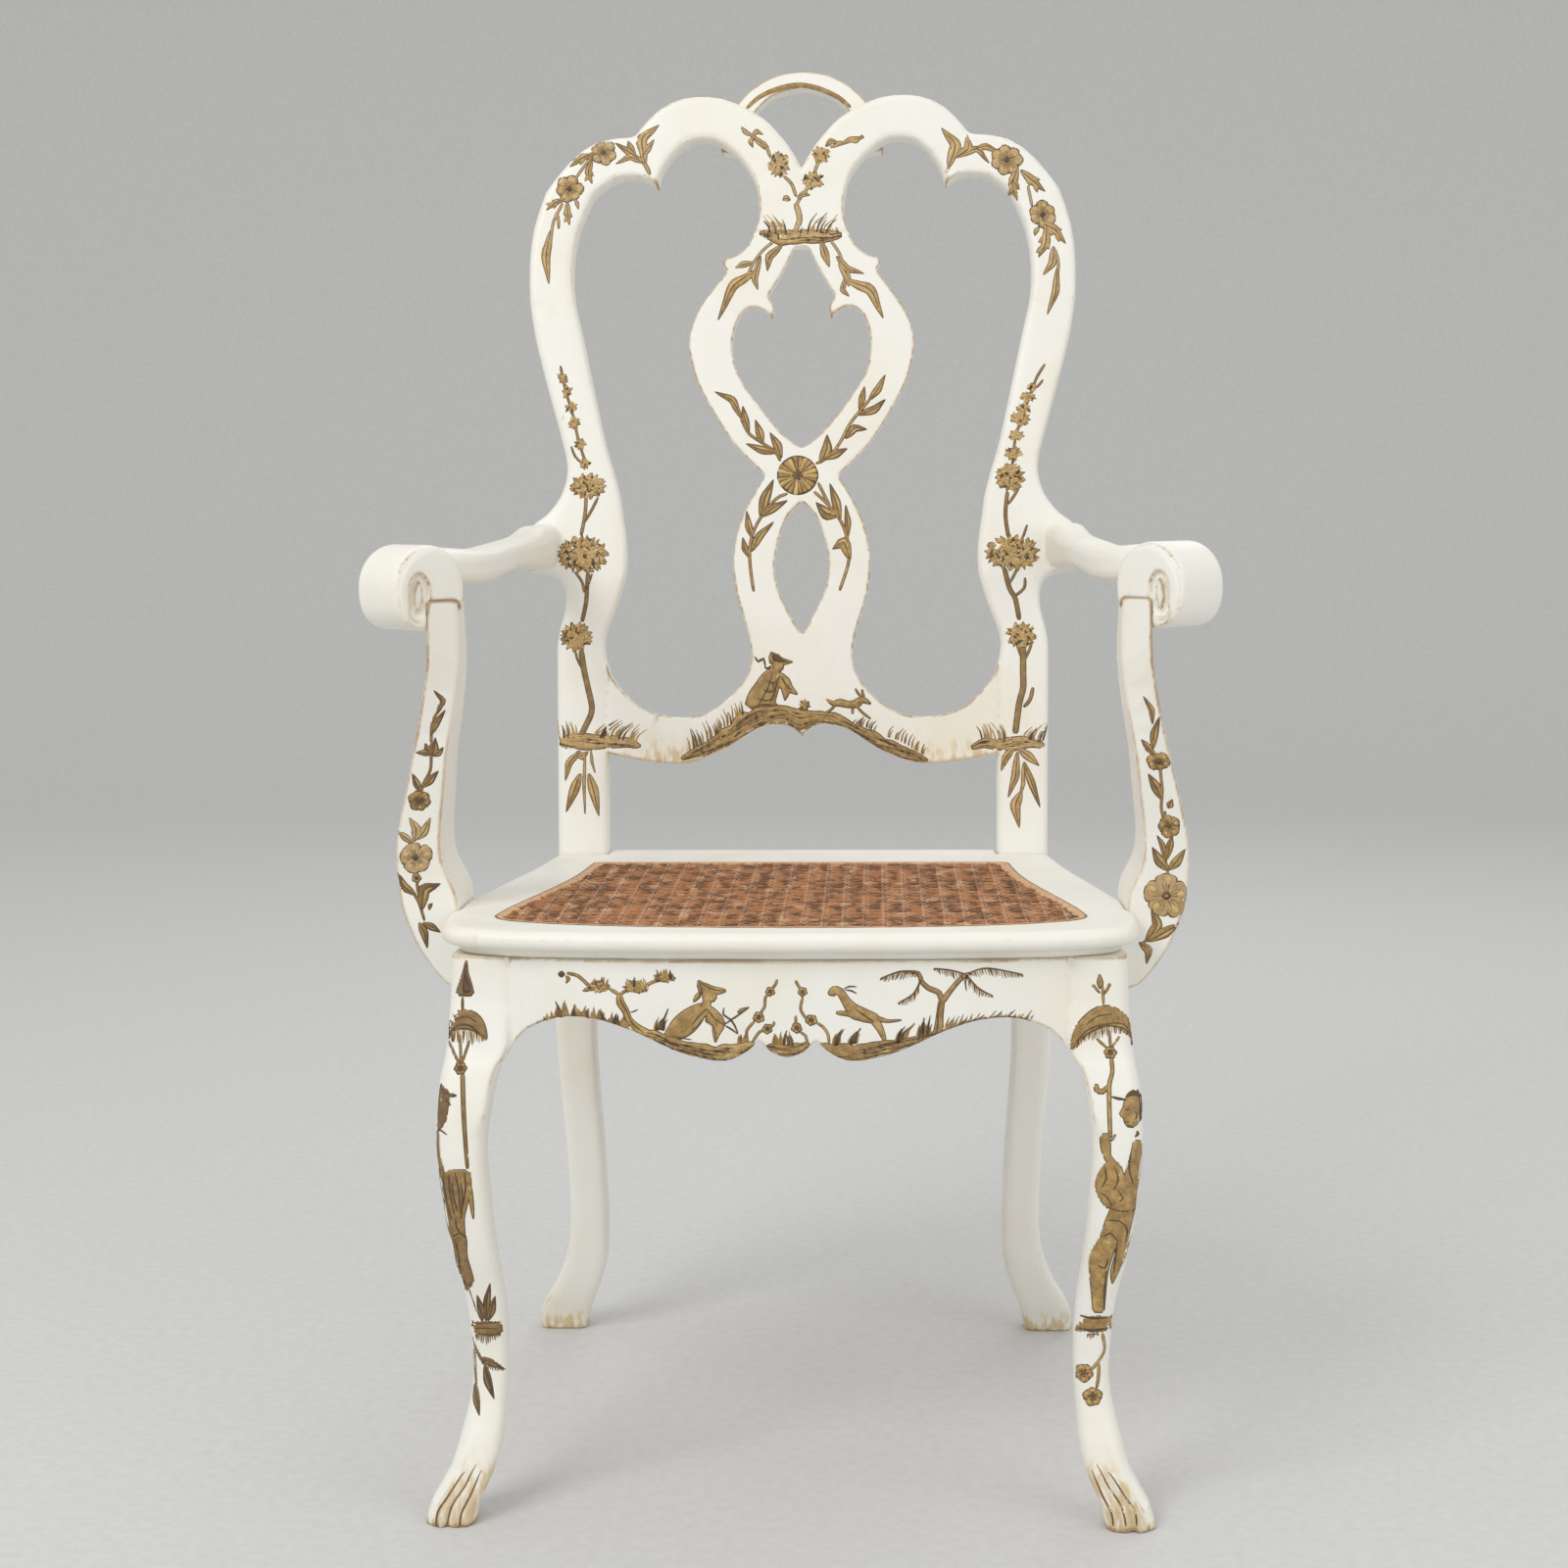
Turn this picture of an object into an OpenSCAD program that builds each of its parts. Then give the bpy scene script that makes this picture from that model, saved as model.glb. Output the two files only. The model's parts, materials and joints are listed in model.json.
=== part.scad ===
// Painted armchair: looping crest with a carrying handle, pierced splat,
// rolled arms, cabriole front legs with hoof feet, and a caned seat.
// Millimetres. The chair faces -Y and stands centred on the origin.

/* [Seat] */
// Height of the top of the seat rim
seat_h = 455; // [435:1:475]
// Width of the seat rim at its front corners
seat_w = 542; // [530:2:556]
// Depth from the toes to the front of the rear posts
seat_d = 450; // [435:1:470]
// Thickness of the seat rim
rim_t = 22; // [20:1:26]
// Overhang of the rim beyond the rails
overhang = 17; // [14:1:18]
// Height of the side and back rails
rail_h = 58; // [54:1:64]
// Thickness of the rails
rail_t = 24; // [22:1:26]
// Width of the ledge under the edge of the cane
ledge_w = 7; // [6:0.5:8]
// Thickness of the cane net
cane_t = 1.2; // [1:0.1:1.6]
// Width of one strand of the net
strand_w = 7.5; // [6:0.5:9]
// Pitch of the strands
strand_pitch = 23; // [22:0.5:27]

/* [Back] */
// Height of the crest above the seat
back_h = 688; // [670:2:710]
// Width over the shoulders of the crest
back_w = 500; // [490:2:510]
// Lean of the back, in degrees
back_rake = 8; // [6:0.5:10]
// Thickness of the crest
board_t = 26; // [24:0.5:30]
// Thickness of the splat
splat_t = 14; // [12:0.5:16]
// Thickness of the stay rail
stay_t = 22; // [20:0.5:24]
// Depth of the carrying handle
handle_t = 20; // [16:0.5:24]

/* [Rear legs] */
// Depth of the rear posts at the seat
post_d = 36; // [34:1:40]
// Depth of the rear posts at the floor
heel_d = 30; // [26:1:34]
// How far the rear feet kick backwards
kick = 30; // [20:1:40]

/* [Arms] */
// Height of the arm tops above the seat
arm_rise = 289; // [276:1:300]
// Width over the rolled arm ends
arm_span = 662; // [640:2:680]
// Thickness of the arms
arm_t = 30; // [28:0.5:34]
// Width of the arms
arm_w = 33; // [30:0.5:36]
// Diameter of the roll at the end of the arm
roll_d = 66; // [60:1:70]
// Length of the roll
roll_l = 54; // [50:1:58]
// Turn of the roll from straight ahead, in degrees
roll_turn = 46; // [40:1:50]
// Depth of the arm supports at the seat
support_d = 86; // [80:1:92]

/* [Joints] */
// Clearance round tenons and dowels
fit = 0.2; // [0.1:0.05:0.3]
// Length of the rail and post tenons
tenon_l = 18; // [14:1:20]
// Thickness of the tenons
tenon_t = 10; // [8:0.5:12]
// Diameter of the support dowels
dowel_d = 10; // [8:0.5:12]
// Diameter of the screw shanks
screw_d = 4.5; // [4:0.1:5]
// Diameter of the screw heads
head_d = 8.5; // [8:0.1:9.5]

/* [Hidden] */

paint = "ivory";
wood = "burlywood";
steel = "silver";

// Half sizes and heights that several pieces share
half_w = seat_w / 2;
half_back = back_w / 2;
half_span = arm_span / 2;
board_h = back_h / cos(back_rake);
rail_top = seat_h - rim_t;
rail_x = half_w - overhang;
overrun = rim_t;
// Depth from the toes to the rearmost edge of the handle
handle_top_share = 1.042;
whole_d = seat_d + handle_top_share * board_h * sin(back_rake)
  + (board_t + handle_t) * cos(back_rake);

// Smooth curve through a run of points, steps pieces between each two
function blend(a, b, c, d, t) =
  (2 * b + (c - a) * t + (2 * a - 5 * b + 4 * c - d) * t * t
  + (3 * b - a - 3 * c + d) * t * t * t) / 2;
function run(p, steps = 4) = [
  for (i = [0:len(p) - 2], k = [0:steps - 1])
    blend(p[max(i - 1, 0)], p[i], p[i + 1], p[min(i + 2, len(p) - 1)], k / steps),
  p[len(p) - 1]];
// Runs laid end to end, with a corner where two meet
function joined(runs, steps = 4) = [
  for (i = [0:len(runs) - 1]) let (r = run(runs[i], steps))
    for (k = [(i == 0 ? 0 : 1):len(r) - 1]) r[k]];
// Length of a polyline up to point k, and the point at a given length
function reach(p, k) = k == 0 ? 0 : reach(p, k - 1) + norm(p[k] - p[k - 1]);
function at_length(p, s, k = 1) =
  let (step = norm(p[k] - p[k - 1]))
  s <= step || k == len(p) - 1 ? p[k - 1] + (p[k] - p[k - 1]) * min(s / step, 1)
  : at_length(p, s - step, k + 1);
// A run cut into count equal lengths
function spaced(p, count) = let (fine = run(p, 8), whole = reach(fine, len(fine) - 1))
  [for (i = [0:count]) at_length(fine, whole * i / count)];
function spaced_runs(runs, counts) = [
  for (i = [0:len(runs) - 1]) let (r = spaced(runs[i], counts[i]))
    for (k = [(i == 0 ? 0 : 1):len(r) - 1]) r[k]];
function reversed(p) = [for (i = [len(p) - 1:-1:0]) p[i]];
function mirrored(p) = [for (q = reversed(p)) [-q.x, q.y]];
// A half outline from the centre line and its mirror image, as one closed outline
function both_sides(p) = concat(p, [for (q = mirrored(p)) if (q.x != 0) q]);
// A run from the centre line outwards, with its mirror image before it
function across(p) = concat([for (q = mirrored(p)) if (q.x != 0) q], p);
// A path moved sideways to its left by d
function inset(p, d) = [for (i = [0:len(p) - 1])
  let (t = p[min(i + 1, len(p) - 1)] - p[max(i - 1, 0)]) p[i] + d * [-t.y, t.x] / norm(t)];
function sized(shares, w, h) = [for (s = shares) [s.x * w, s.y * h]];
function sized_runs(runs, w, h) = [for (r = runs) sized(r, w, h)];

// Rounded ring of a given width and height: power 2 is an ellipse, a high power a box
function soft(c, power) = sign(c) * pow(abs(c), 2 / power);
function oval(w, h, power, sides) = [for (i = [0:sides - 1])
  let (a = 360 * (i + 0.5) / sides) [w / 2 * soft(cos(a), power), h / 2 * soft(sin(a), power)]];

// Rectangle with rounded corners
function eased(w, d, r) = [for (n = [0:3], k = [0:3]) let (a = 90 * n + 30 * k)
  [(n % 3 == 0 ? 1 : -1) * (w / 2 - r) + r * cos(a), (n < 2 ? 1 : -1) * (d / 2 - r) + r * sin(a)]];

// Closed skin over a stack of rings that all have the same number of points
module loft(rings, flip = false) {
  m = len(rings[0]);
  n = len(rings);
  walls = [for (j = [0:n - 2], i = [0:m - 1]) let (k = (i + 1) % m)
    each [[j * m + i, j * m + k, j * m + m + k], [j * m + i, j * m + m + k, j * m + m + i]]];
  faces = concat([[for (i = [m - 1:-1:0]) i]], walls, [[for (i = [0:m - 1]) (n - 1) * m + i]]);
  polyhedron(points = [for (r = rings) each r],
    faces = flip ? faces : [for (f = faces) reversed(f)]);
}

module two_sides() {
  children();
  mirror([1, 0, 0]) children();
}

// The chair is drawn from the toes backwards, then centred
module placed() translate([0, -whole_d / 2, 0]) children();
// The back board: x across, y up the board, z out of its front face
module on_back() translate([0, seat_d, seat_h]) rotate([90 - back_rake, 0, 0]) children();
// A point of the back board: across, up, and behind its front face
function back_point(x, v, w) = [x,
  seat_d + v * sin(back_rake) + w * cos(back_rake),
  seat_h + v * cos(back_rake) - w * sin(back_rake)];

// Back board outlines, as shares of half the width and of the height of the back
crest_foot_share = 0.727;
crest_outer_shares = [
  [[0.998, crest_foot_share], [1, 0.776], [0.984, 0.827], [0.94, 0.875]],
  [[0.94, 0.875], [0.874, 0.906], [0.808, 0.929], [0.732, 0.943], [0.624, 0.947]],
  [[0.624, 0.947], [0.608, 0.95], [0.594, 0.957]],
  [[0.594, 0.957], [0.524, 0.983], [0.444, 0.997], [0.36, 1], [0.28, 0.996], [0.2, 0.984]],
  [[0.2, 0.984], [0.128, 0.967], [0.056, 0.938]],
  [[0.056, 0.938], [0.024, 0.92], [0, 0.903]]];
crest_neck_share = [0.178, 0.813];
crest_inner_shares = [
  [[0.832, crest_foot_share], [0.84, 0.763], [0.824, 0.815], [0.768, 0.866]],
  [[0.768, 0.866], [0.704, 0.886], [0.648, 0.893], [0.596, 0.893], [0.556, 0.888], [0.524, 0.879]],
  [[0.524, 0.879], [0.522, 0.888], [0.514, 0.898]],
  [[0.514, 0.898], [0.476, 0.92], [0.416, 0.938], [0.358, 0.942], [0.3, 0.938], [0.222, 0.915]],
  [[0.222, 0.915], [0.172, 0.888], [0.156, 0.858], [0.156, 0.836], crest_neck_share],
  [crest_neck_share, [0.09, crest_neck_share.y], [0, crest_neck_share.y]]];
crest_counts = [6, 6, 2, 9, 8, 4];
handle_outer_shares = [[0, handle_top_share], [0.088, 1.037], [0.172, 1.022], [0.24, 0.998],
  [0.288, 0.968], [0.3, 0.935]];
handle_inner_shares = [[0, 1.02], [0.092, 1.012], [0.156, 0.995], [0.208, 0.968], [0.232, 0.93]];
splat_foot_share = [0.232, 0.217];
splat_outer_shares = [
  [crest_neck_share, [0.2, 0.798], [0.244, 0.787], [0.284, 0.783]],
  [[0.284, 0.783], [0.288, 0.776], [0.27, 0.766]],
  [[0.27, 0.766], [0.328, 0.741], [0.392, 0.704], [0.412, 0.672], [0.4, 0.642], [0.368, 0.609],
    [0.256, 0.542], [0.132, 0.496]],
  [[0.132, 0.496], [0.172, 0.474], [0.224, 0.436], [0.248, 0.39], [0.24, 0.344], [0.2, 0.295],
    [0.184, 0.26], [0.198, 0.236], splat_foot_share]];
heart_shares = [
  [[0, 0.799], [0.024, 0.797]],
  [[0.024, 0.797], [0.052, 0.777], [0.092, 0.751], [0.128, 0.731]],
  [[0.128, 0.731], [0.106, 0.724], [0.1, 0.716], [0.108, 0.706]],
  [[0.108, 0.706], [0.144, 0.716], [0.184, 0.719], [0.228, 0.706], [0.254, 0.67], [0.236, 0.635],
    [0.192, 0.606], [0.128, 0.576], [0.056, 0.546], [0, 0.532]]];
oval_shares = [[0, 0.462], [0.048, 0.445], [0.084, 0.412], [0.1, 0.376], [0.084, 0.346],
  [0.05, 0.318], [0, 0.286]];
stay_end_shares = [0.71, 0.132, 0.25];
stay_top_shares = [splat_foot_share, [0.296, 0.196], [0.36, 0.184], [0.43, 0.179], [0.52, 0.183],
  [0.592, 0.193], [0.656, 0.214], [0.7, 0.236], [stay_end_shares[0], stay_end_shares[2]]];
stay_foot_shares = [[stay_end_shares[0], stay_end_shares[1]], [0.628, 0.126], [0.52, 0.12],
  [0.412, 0.12], [0.344, 0.128], [0.272, 0.14], [0.2, 0.157], [0.148, 0.167], [0.08, 0.17],
  [0.03, 0.165], [0, 0.155]];

// Rear post above the seat: height, outer edge, inner edge
post_in_share = 0.708;
post_shares = [[0, 0.892, post_in_share], [0.12, 0.894, post_in_share],
  [0.219, 0.896, stay_end_shares[0]], [0.25, 0.896, 0.714], [0.275, 0.896, 0.724],
  [0.297, 0.886, 0.712], [0.322, 0.868, 0.684], [0.345, 0.868, 0.662], [0.362, 0.892, 0.648],
  [0.37, 0.94, 0.643], [0.374, 1.004, 0.642], [0.4, 1.012, 0.64], [0.428, 1.004, 0.648],
  [0.446, 0.94, 0.656], [0.472, 0.884, 0.666], [0.505, 0.86, 0.69], [0.539, 0.876, 0.718],
  [0.587, 0.912, 0.748], [0.635, 0.948, 0.776], [0.683, 0.98, 0.804],
  [crest_foot_share, 0.998, 0.832]];
// Rear leg below the seat: height share of the seat's, outer edge, inner edge, kick
heel_shares = [[0, 0.996, 0.824, 1], [0.033, 0.996, 0.81, 0.86], [0.07, 0.97, 0.788, 0.66],
  [0.105, 0.932, 0.764, 0.48], [0.16, 0.892, 0.736, 0.28], [0.237, 0.868, 0.73, 0.12],
  [0.382, 0.876, 0.738, 0.03], [0.523, 0.898, 0.756, 0], [0.655, 0.912, 0.764, 0],
  [0.8, 0.904, 0.738, 0], [0.93, 0.893, post_in_share, 0]];

// Seat outlines, as shares of half the width and of the depth of the seat
rim_front_shares = [
  [[0, 0.033], [0.453, 0.04], [0.745, 0.058], [0.875, 0.08]],
  [[0.875, 0.08], [0.948, 0.106], [0.985, 0.15], [0.996, 0.2]]];
open_front_shares = [
  [[0, 0.113], [0.41, 0.124], [0.704, 0.158], [0.782, 0.18]],
  [[0.782, 0.18], [0.827, 0.202], [0.848, 0.226], [0.849, 0.25]]];
rim_side_shares = [[0.996, 0.2], [1, 0.26], [0.985, 0.4], [0.93, 0.6], [0.866, 0.82], [0.83, 1]];
open_side_shares = [[0.849, 0.25], [0.823, 0.35], [0.757, 0.531], [0.704, 0.7], [0.677, 0.88]];
open_back_share = 0.889;
side_rail_shares = [[1, 0.191], [1, 0.29], [0.98, 0.42], [0.94, 0.56], [0.888, 0.69],
  [0.85, 0.833], [0.835, 1]];
apron_front_shares = [[0, 0.066], [0.39, 0.07], [0.587, 0.077], [0.782, 0.098]];
apron_back_share = 0.138;
apron_back = apron_back_share * seat_d;
// Lower edge of the apron, as shares of half the seat's width and of the rails' top
apron_foot_shares = [
  [[0, 0.828], [0.044, 0.837], [0.08, 0.86]],
  [[0.08, 0.86], [0.108, 0.842], [0.166, 0.823], [0.235, 0.826], [0.323, 0.842], [0.43, 0.874],
    [0.528, 0.894], [0.616, 0.898], [0.685, 0.888], [0.743, 0.868], [0.782, 0.838]]];

// Front leg: height share of the rails' top, inner and outer edge, front and back edge
leg_top_share = 0.84;
leg_in_share = 0.782;
leg_back_share = 0.191;
leg_shares = [[0, 0.887, 1.03, 0, 0.084], [0.039, 0.873, 1.014, 0.004, 0.087],
  [0.092, 0.833, 0.963, 0.027, 0.104], [0.145, 0.814, 0.937, 0.047, 0.12],
  [0.2, 0.808, 0.915, 0.069, 0.135], [0.254, 0.803, 0.904, 0.078, 0.14],
  [0.326, 0.803, 0.91, 0.078, 0.144], [0.395, 0.81, 0.923, 0.069, 0.14],
  [0.457, 0.823, 0.946, 0.056, 0.131], [0.52, 0.834, 0.964, 0.046, 0.124],
  [0.589, 0.841, 0.978, 0.04, 0.121], [0.658, 0.849, 0.989, 0.038, 0.124],
  [0.727, 0.841, 0.989, 0.045, 0.142], [0.778, 0.827, 0.983, 0.056, 0.163],
  [0.811, 0.808, 0.974, 0.066, 0.178], [leg_top_share, leg_in_share, 0.967, 0.078, leg_back_share],
  [0.924, leg_in_share, 0.956, 0.096, leg_back_share], [1, leg_in_share, 0.952, 0.1, leg_back_share]];
// The three grooves of the hoof: directions, depth and height as shares
groove_angles = [-90, -45, 0];
groove_share = 0.1;
groove_h_share = 0.13;

// Arm, from the roll to the post: how far across from the post to the roll, back from
// the toes, width, thickness, and how far its top lies below the roll's
arm_shares = [[0.866, 0.272, 1.5, 1, 0.05], [0.634, 0.305, 1.45, 1, 0.1],
  [0.427, 0.35, 1.28, 0.96, 0.15], [0.268, 0.42, 1.12, 0.9, 0.16], [0.159, 0.53, 1.02, 0.83, 0.08],
  [0.091, 0.67, 0.98, 0.82, 0.01], [0.049, 0.82, 1, 1.03, -0.08], [0.024, 0.95, 1, 1.31, -0.3]];
roll_x_share = 0.884;
roll_y_share = 0.253;
roll_x = roll_x_share * half_span;
// Support: height share between its foot and the arm, inner and outer edge, depth, setback
support_foot_share = 0.72;
support_y_share = 0.296;
support_in_share = 0.03;
support_foot = rail_top - support_foot_share * rail_h;
support_y = support_y_share * seat_d;
support_shares = [[0, 0, 0.03, 0.9, 0.03], [0.013, 0, 0.064, 0.94, 0.02],
  [0.061, 0, 0.102, 0.98, 0.01], [0.109, 0, 0.13, 1, 0], [0.135, support_in_share, 0.141, 1, 0],
  [0.206, support_in_share, 0.166, 1, 0],
  [0.254, 0.037, 0.172, 0.98, -0.005], [0.3, 0.057, 0.175, 0.94, -0.02],
  [0.342, 0.067, 0.175, 0.9, -0.045], [0.41, 0.066, 0.168, 0.85, -0.08],
  [0.513, 0.052, 0.146, 0.77, -0.17], [0.613, 0.04, 0.121, 0.71, -0.25],
  [0.716, 0.022, 0.097, 0.64, -0.32], [0.839, 0.006, 0.075, 0.52, -0.37],
  [0.93, 0.006, 0.071, 0.46, -0.384], [1, 0.008, 0.069, 0.44, -0.384]];
// The top of the support turns until its face lies in the plane of the roll's face
twist_from_share = 0.6;
twist_run_share = 0.3;
// Pad on the inside of the support, which is let into the side rail
pad_share = 0.4;
pad = pad_share * rail_t;
pad_h = pad_share * rail_h;
support_top = seat_h + arm_rise - 1.44 * arm_t;

// Screw and dowel places
block_share = 0.7;
block_h = block_share * rail_h;
block_leg_share = 0.24;
block_leg = block_leg_share * half_w;
arm_hole_share = 0.62;
arm_hole_v = (arm_rise - arm_hole_share * arm_t) / cos(back_rake);
// The arm ends flush with the outer edge of the post
post_edge = half_back * lookup(arm_hole_v / board_h, [for (s = post_shares) [s[0], s[1]]]);
arm_end_share = 0.46;
arm_end_x = post_edge - arm_end_share * arm_w;
handle_hole_shares = [0.262, 0.948];
screw_l = 6 * head_d;

// Front leg with a bent shin and a hoof that turns out to the corner
function leg_ring(s) = let (
    w = (s[2] - s[1]) * half_w, d = (s[4] - s[3]) * seat_d,
    box = s[0] > 0.7 ? 8 : 3, corner = s[0] > 0.7 ? 3 : 2.6,
    cut = groove_share * max(0, 1 - s[0] / groove_h_share))
  [for (i = [0:23]) let (a = 360 * i / 24 - 180,
      p = a > -90 && a < 0 ? corner : box,
      g = 1 - (min([for (b = groove_angles) abs(a - b)]) < 1 ? cut : 0))
    [s[1] * half_w + w / 2 * (1 + g * soft(cos(a), p)),
     s[3] * seat_d + d / 2 * (1 + g * soft(sin(a), p)), s[0] * rail_top]];

module tenon(w, h, l, play = 0) {
  translate([-w / 2 - play, -play, -h / 2 - play]) cube([w + 2 * play, l + play, h + 2 * play]);
}

// Screw with its head at the origin; with play it is the hole, left open behind the head
module screw(l, play) {
  back = play > 0 ? overrun : 0;
  cylinder(d = screw_d + 2 * play, h = l + play, $fn = 24);
  translate([0, 0, -back]) cylinder(d = head_d + 2 * play, h = head_d / 2 + back, $fn = 24);
}

apron_x = leg_in_share * half_w - fit;
module apron_tenons(play = 0) {
  two_sides() translate([apron_x, apron_back - tenon_t, rail_top - rail_h / 2])
    rotate([0, 0, -90]) tenon(tenon_t, rail_h / 2, tenon_l - tenon_t / 2, play);
}

// The side rails' tenons, into the front leg and into the rear post
module side_front_tenon(play = 0) {
  translate([rail_x - rail_t / 2, leg_back_share * seat_d, rail_top - rail_h / 2])
    rotate([0, 0, 180]) tenon(tenon_t, rail_h / 2, tenon_l, play);
}

module side_rear_tenon(play = 0) {
  translate([side_rail_shares[6].x * rail_x - rail_t / 2, seat_d, rail_top - rail_h / 2])
    tenon(tenon_t, rail_h / 2, tenon_l, play);
}

module front_leg() {
  difference() {
    loft([for (s = run(leg_shares, 2)) leg_ring(s)]);
    apron_tenons(fit);
    side_front_tenon(fit);
  }
}

function post_ring(s) = let (
    d = post_d + (board_t - post_d) * min(s[0] / stay_end_shares[2], 1), x0 = s[2] * half_back,
    w = s[1] * half_back - x0)
  [for (q = oval(w, d, 5, 16)) back_point(x0 + w / 2 + q.x, s[0] * board_h, d / 2 + q.y)];
function heel_ring(s) = let (
    d = heel_d + (post_d - heel_d) * min(2 * s[0], 1), x0 = s[2] * half_back,
    w = s[1] * half_back - x0)
  [for (q = oval(w, d, 5, 16))
    [x0 + w / 2 + q.x, seat_d + s[3] * kick + d / 2 + q.y, s[0] * seat_h]];

crest_tenon_w = 0.5 * (crest_outer_shares[0][0].x - crest_inner_shares[0][0].x) * half_back;
crest_tenon_x = 0.5 * (crest_outer_shares[0][0].x + crest_inner_shares[0][0].x) * half_back;
module crest_tenon(play = 0) {
  root = play > 0 ? play : tenon_l / 4;
  on_back() translate([crest_tenon_x, crest_foot_share * board_h, -board_t / 2])
    translate([-crest_tenon_w / 2 - play, -root, -tenon_t / 2 - play])
      cube([crest_tenon_w + 2 * play, root + tenon_l + play, tenon_t + 2 * play]);
}

stay_tenon_h = 0.5 * (stay_end_shares[2] - stay_end_shares[1]) * board_h;
stay_mid_v = 0.5 * (stay_end_shares[2] + stay_end_shares[1]) * board_h;
module stay_tenons(play = 0) {
  on_back() two_sides() translate([stay_end_shares[0] * half_back, stay_mid_v, -stay_t / 2])
    translate([0, -stay_tenon_h / 2 - play, -tenon_t / 2 - play])
      cube([tenon_l + play, stay_tenon_h + 2 * play, tenon_t + 2 * play]);
}

back_rail_x = post_in_share * half_back;
back_rail_y = seat_d + 0.14 * post_d;
module back_rail_tenons(play = 0) {
  two_sides() translate([back_rail_x, back_rail_y + rail_t / 2, rail_top - rail_h / 2])
    rotate([0, 0, -90]) tenon(tenon_t, rail_h / 2, 0.7 * tenon_l, play);
}

// Screw from behind through the post into the end of the arm
module arm_screw(play = 0) {
  on_back() translate([arm_end_x, arm_hole_v, -board_t])
    screw(board_t + screw_l / 2, play);
}

module rear_post() {
  difference() {
    union() {
      loft(concat([for (s = run(heel_shares, 2)) heel_ring(s)],
        [for (s = run(post_shares, 2)) post_ring(s)]));
      crest_tenon();
    }
    side_rear_tenon(fit);
    stay_tenons(fit);
    back_rail_tenons(fit);
    arm_screw(fit);
  }
}

// Crest: a board with eased edges between its outer and its inner outline
ease = 0.22 * board_t;
function crest_ring(a, b) = let (e = (b - a) / norm(b - a) * ease,
    f = e * 0.3, low = ease * 0.3)
  [for (q = [[a + e, 0], [b - e, 0], [b - f, low], [b, ease], [b, board_t - ease],
      [b - f, board_t - low], [b - e, board_t], [a + e, board_t], [a + f, board_t - low],
      [a, board_t - ease], [a, ease], [a + f, low]])
    back_point(q[0].x, q[0].y, q[1])];

splat_tongue_w = 1.3 * crest_neck_share.x * half_back;
splat_slot_h = 0.018 * board_h;
// Tongues at the splat's top and foot, which lie in slots
module splat_tongues(play = 0) {
  on_back() for (v = [crest_neck_share.y, splat_foot_share.y])
    translate([-splat_tongue_w / 2 - play, v * board_h - splat_slot_h - play,
      -splat_t / 2 - splat_t / 4 - play])
      cube([splat_tongue_w + 2 * play, 2 * (splat_slot_h + play), splat_t / 2 + 2 * play]);
}

module handle_screw(play = 0) {
  on_back() translate([handle_hole_shares[0] * half_back, handle_hole_shares[1] * board_h,
      -board_t - handle_t]) screw(handle_t + board_t / 2, play);
}

module crest_rail() color(paint) placed() {
  outer = spaced_runs(sized_runs(crest_outer_shares, half_back, board_h), crest_counts);
  inner = spaced_runs(sized_runs(crest_inner_shares, half_back, board_h), crest_counts);
  last = len(outer) - 2;
  a = concat(outer, [for (i = [last:-1:0]) [-outer[i].x, outer[i].y]]);
  b = concat(inner, [for (i = [last:-1:0]) [-inner[i].x, inner[i].y]]);
  difference() {
    loft([for (i = [0:len(a) - 1]) crest_ring(a[i], b[i])]);
    two_sides() crest_tenon(fit);
    splat_tongues(fit);
    two_sides() handle_screw(fit);
  }
}

module crest_handle() color(paint) placed() {
  outer = run(sized(handle_outer_shares, half_back, board_h), 3);
  inner = run(sized(handle_inner_shares, half_back, board_h), 3);
  whole = concat(mirrored([for (i = [1:len(outer) - 1]) outer[i]]), outer,
    reversed([for (i = [1:len(inner) - 1]) inner[i]]),
    [for (q = inner) [-q.x, q.y]]);
  difference() {
    on_back() translate([0, 0, -board_t - handle_t]) linear_extrude(handle_t) polygon(whole);
    two_sides() handle_screw(fit);
  }
}

module splat() color(paint) placed() {
  outer = joined(sized_runs(splat_outer_shares, half_back, board_h), 3);
  heart = joined(sized_runs(heart_shares, half_back, board_h), 3);
  pointed = run(sized(oval_shares, half_back, board_h), 3);
  on_back() translate([0, 0, -splat_t]) linear_extrude(splat_t) difference() {
    polygon(both_sides(outer));
    polygon(both_sides(heart));
    polygon(both_sides(pointed));
  }
  intersection() {
    splat_tongues();
    on_back() translate([0, 0, -splat_t]) linear_extrude(splat_t)
      square([back_w, 2 * board_h], center = true);
  }
}

module stay_rail() color(paint) placed() {
  upper = run(sized(stay_top_shares, half_back, board_h), 3);
  lower = run(sized(stay_foot_shares, half_back, board_h), 3);
  half = concat(upper, [for (i = [0:len(lower) - 2]) lower[i]]);
  whole = concat(half, [lower[len(lower) - 1]], mirrored(half));
  difference() {
    union() {
      on_back() translate([0, 0, -stay_t]) linear_extrude(stay_t) polygon(whole);
      stay_tenons();
    }
    splat_tongues(fit);
  }
}

// Apron: the scalloped outline sawn from a board that is bowed in front
module front_apron() color(paint) placed() {
  foot = joined(sized_runs(apron_foot_shares, half_w, rail_top), 3);
  bow = run(sized(apron_front_shares, half_w, seat_d), 3);
  intersection() {
    translate([0, apron_back, 0]) rotate([90, 0, 0]) linear_extrude(seat_d)
      polygon(concat(across(foot), [[apron_x, rail_top], [-apron_x, rail_top]]));
    linear_extrude(seat_h) polygon(concat(across(bow), [[apron_x, apron_back], [-apron_x, apron_back]]));
  }
  apron_tenons();
}

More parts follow.
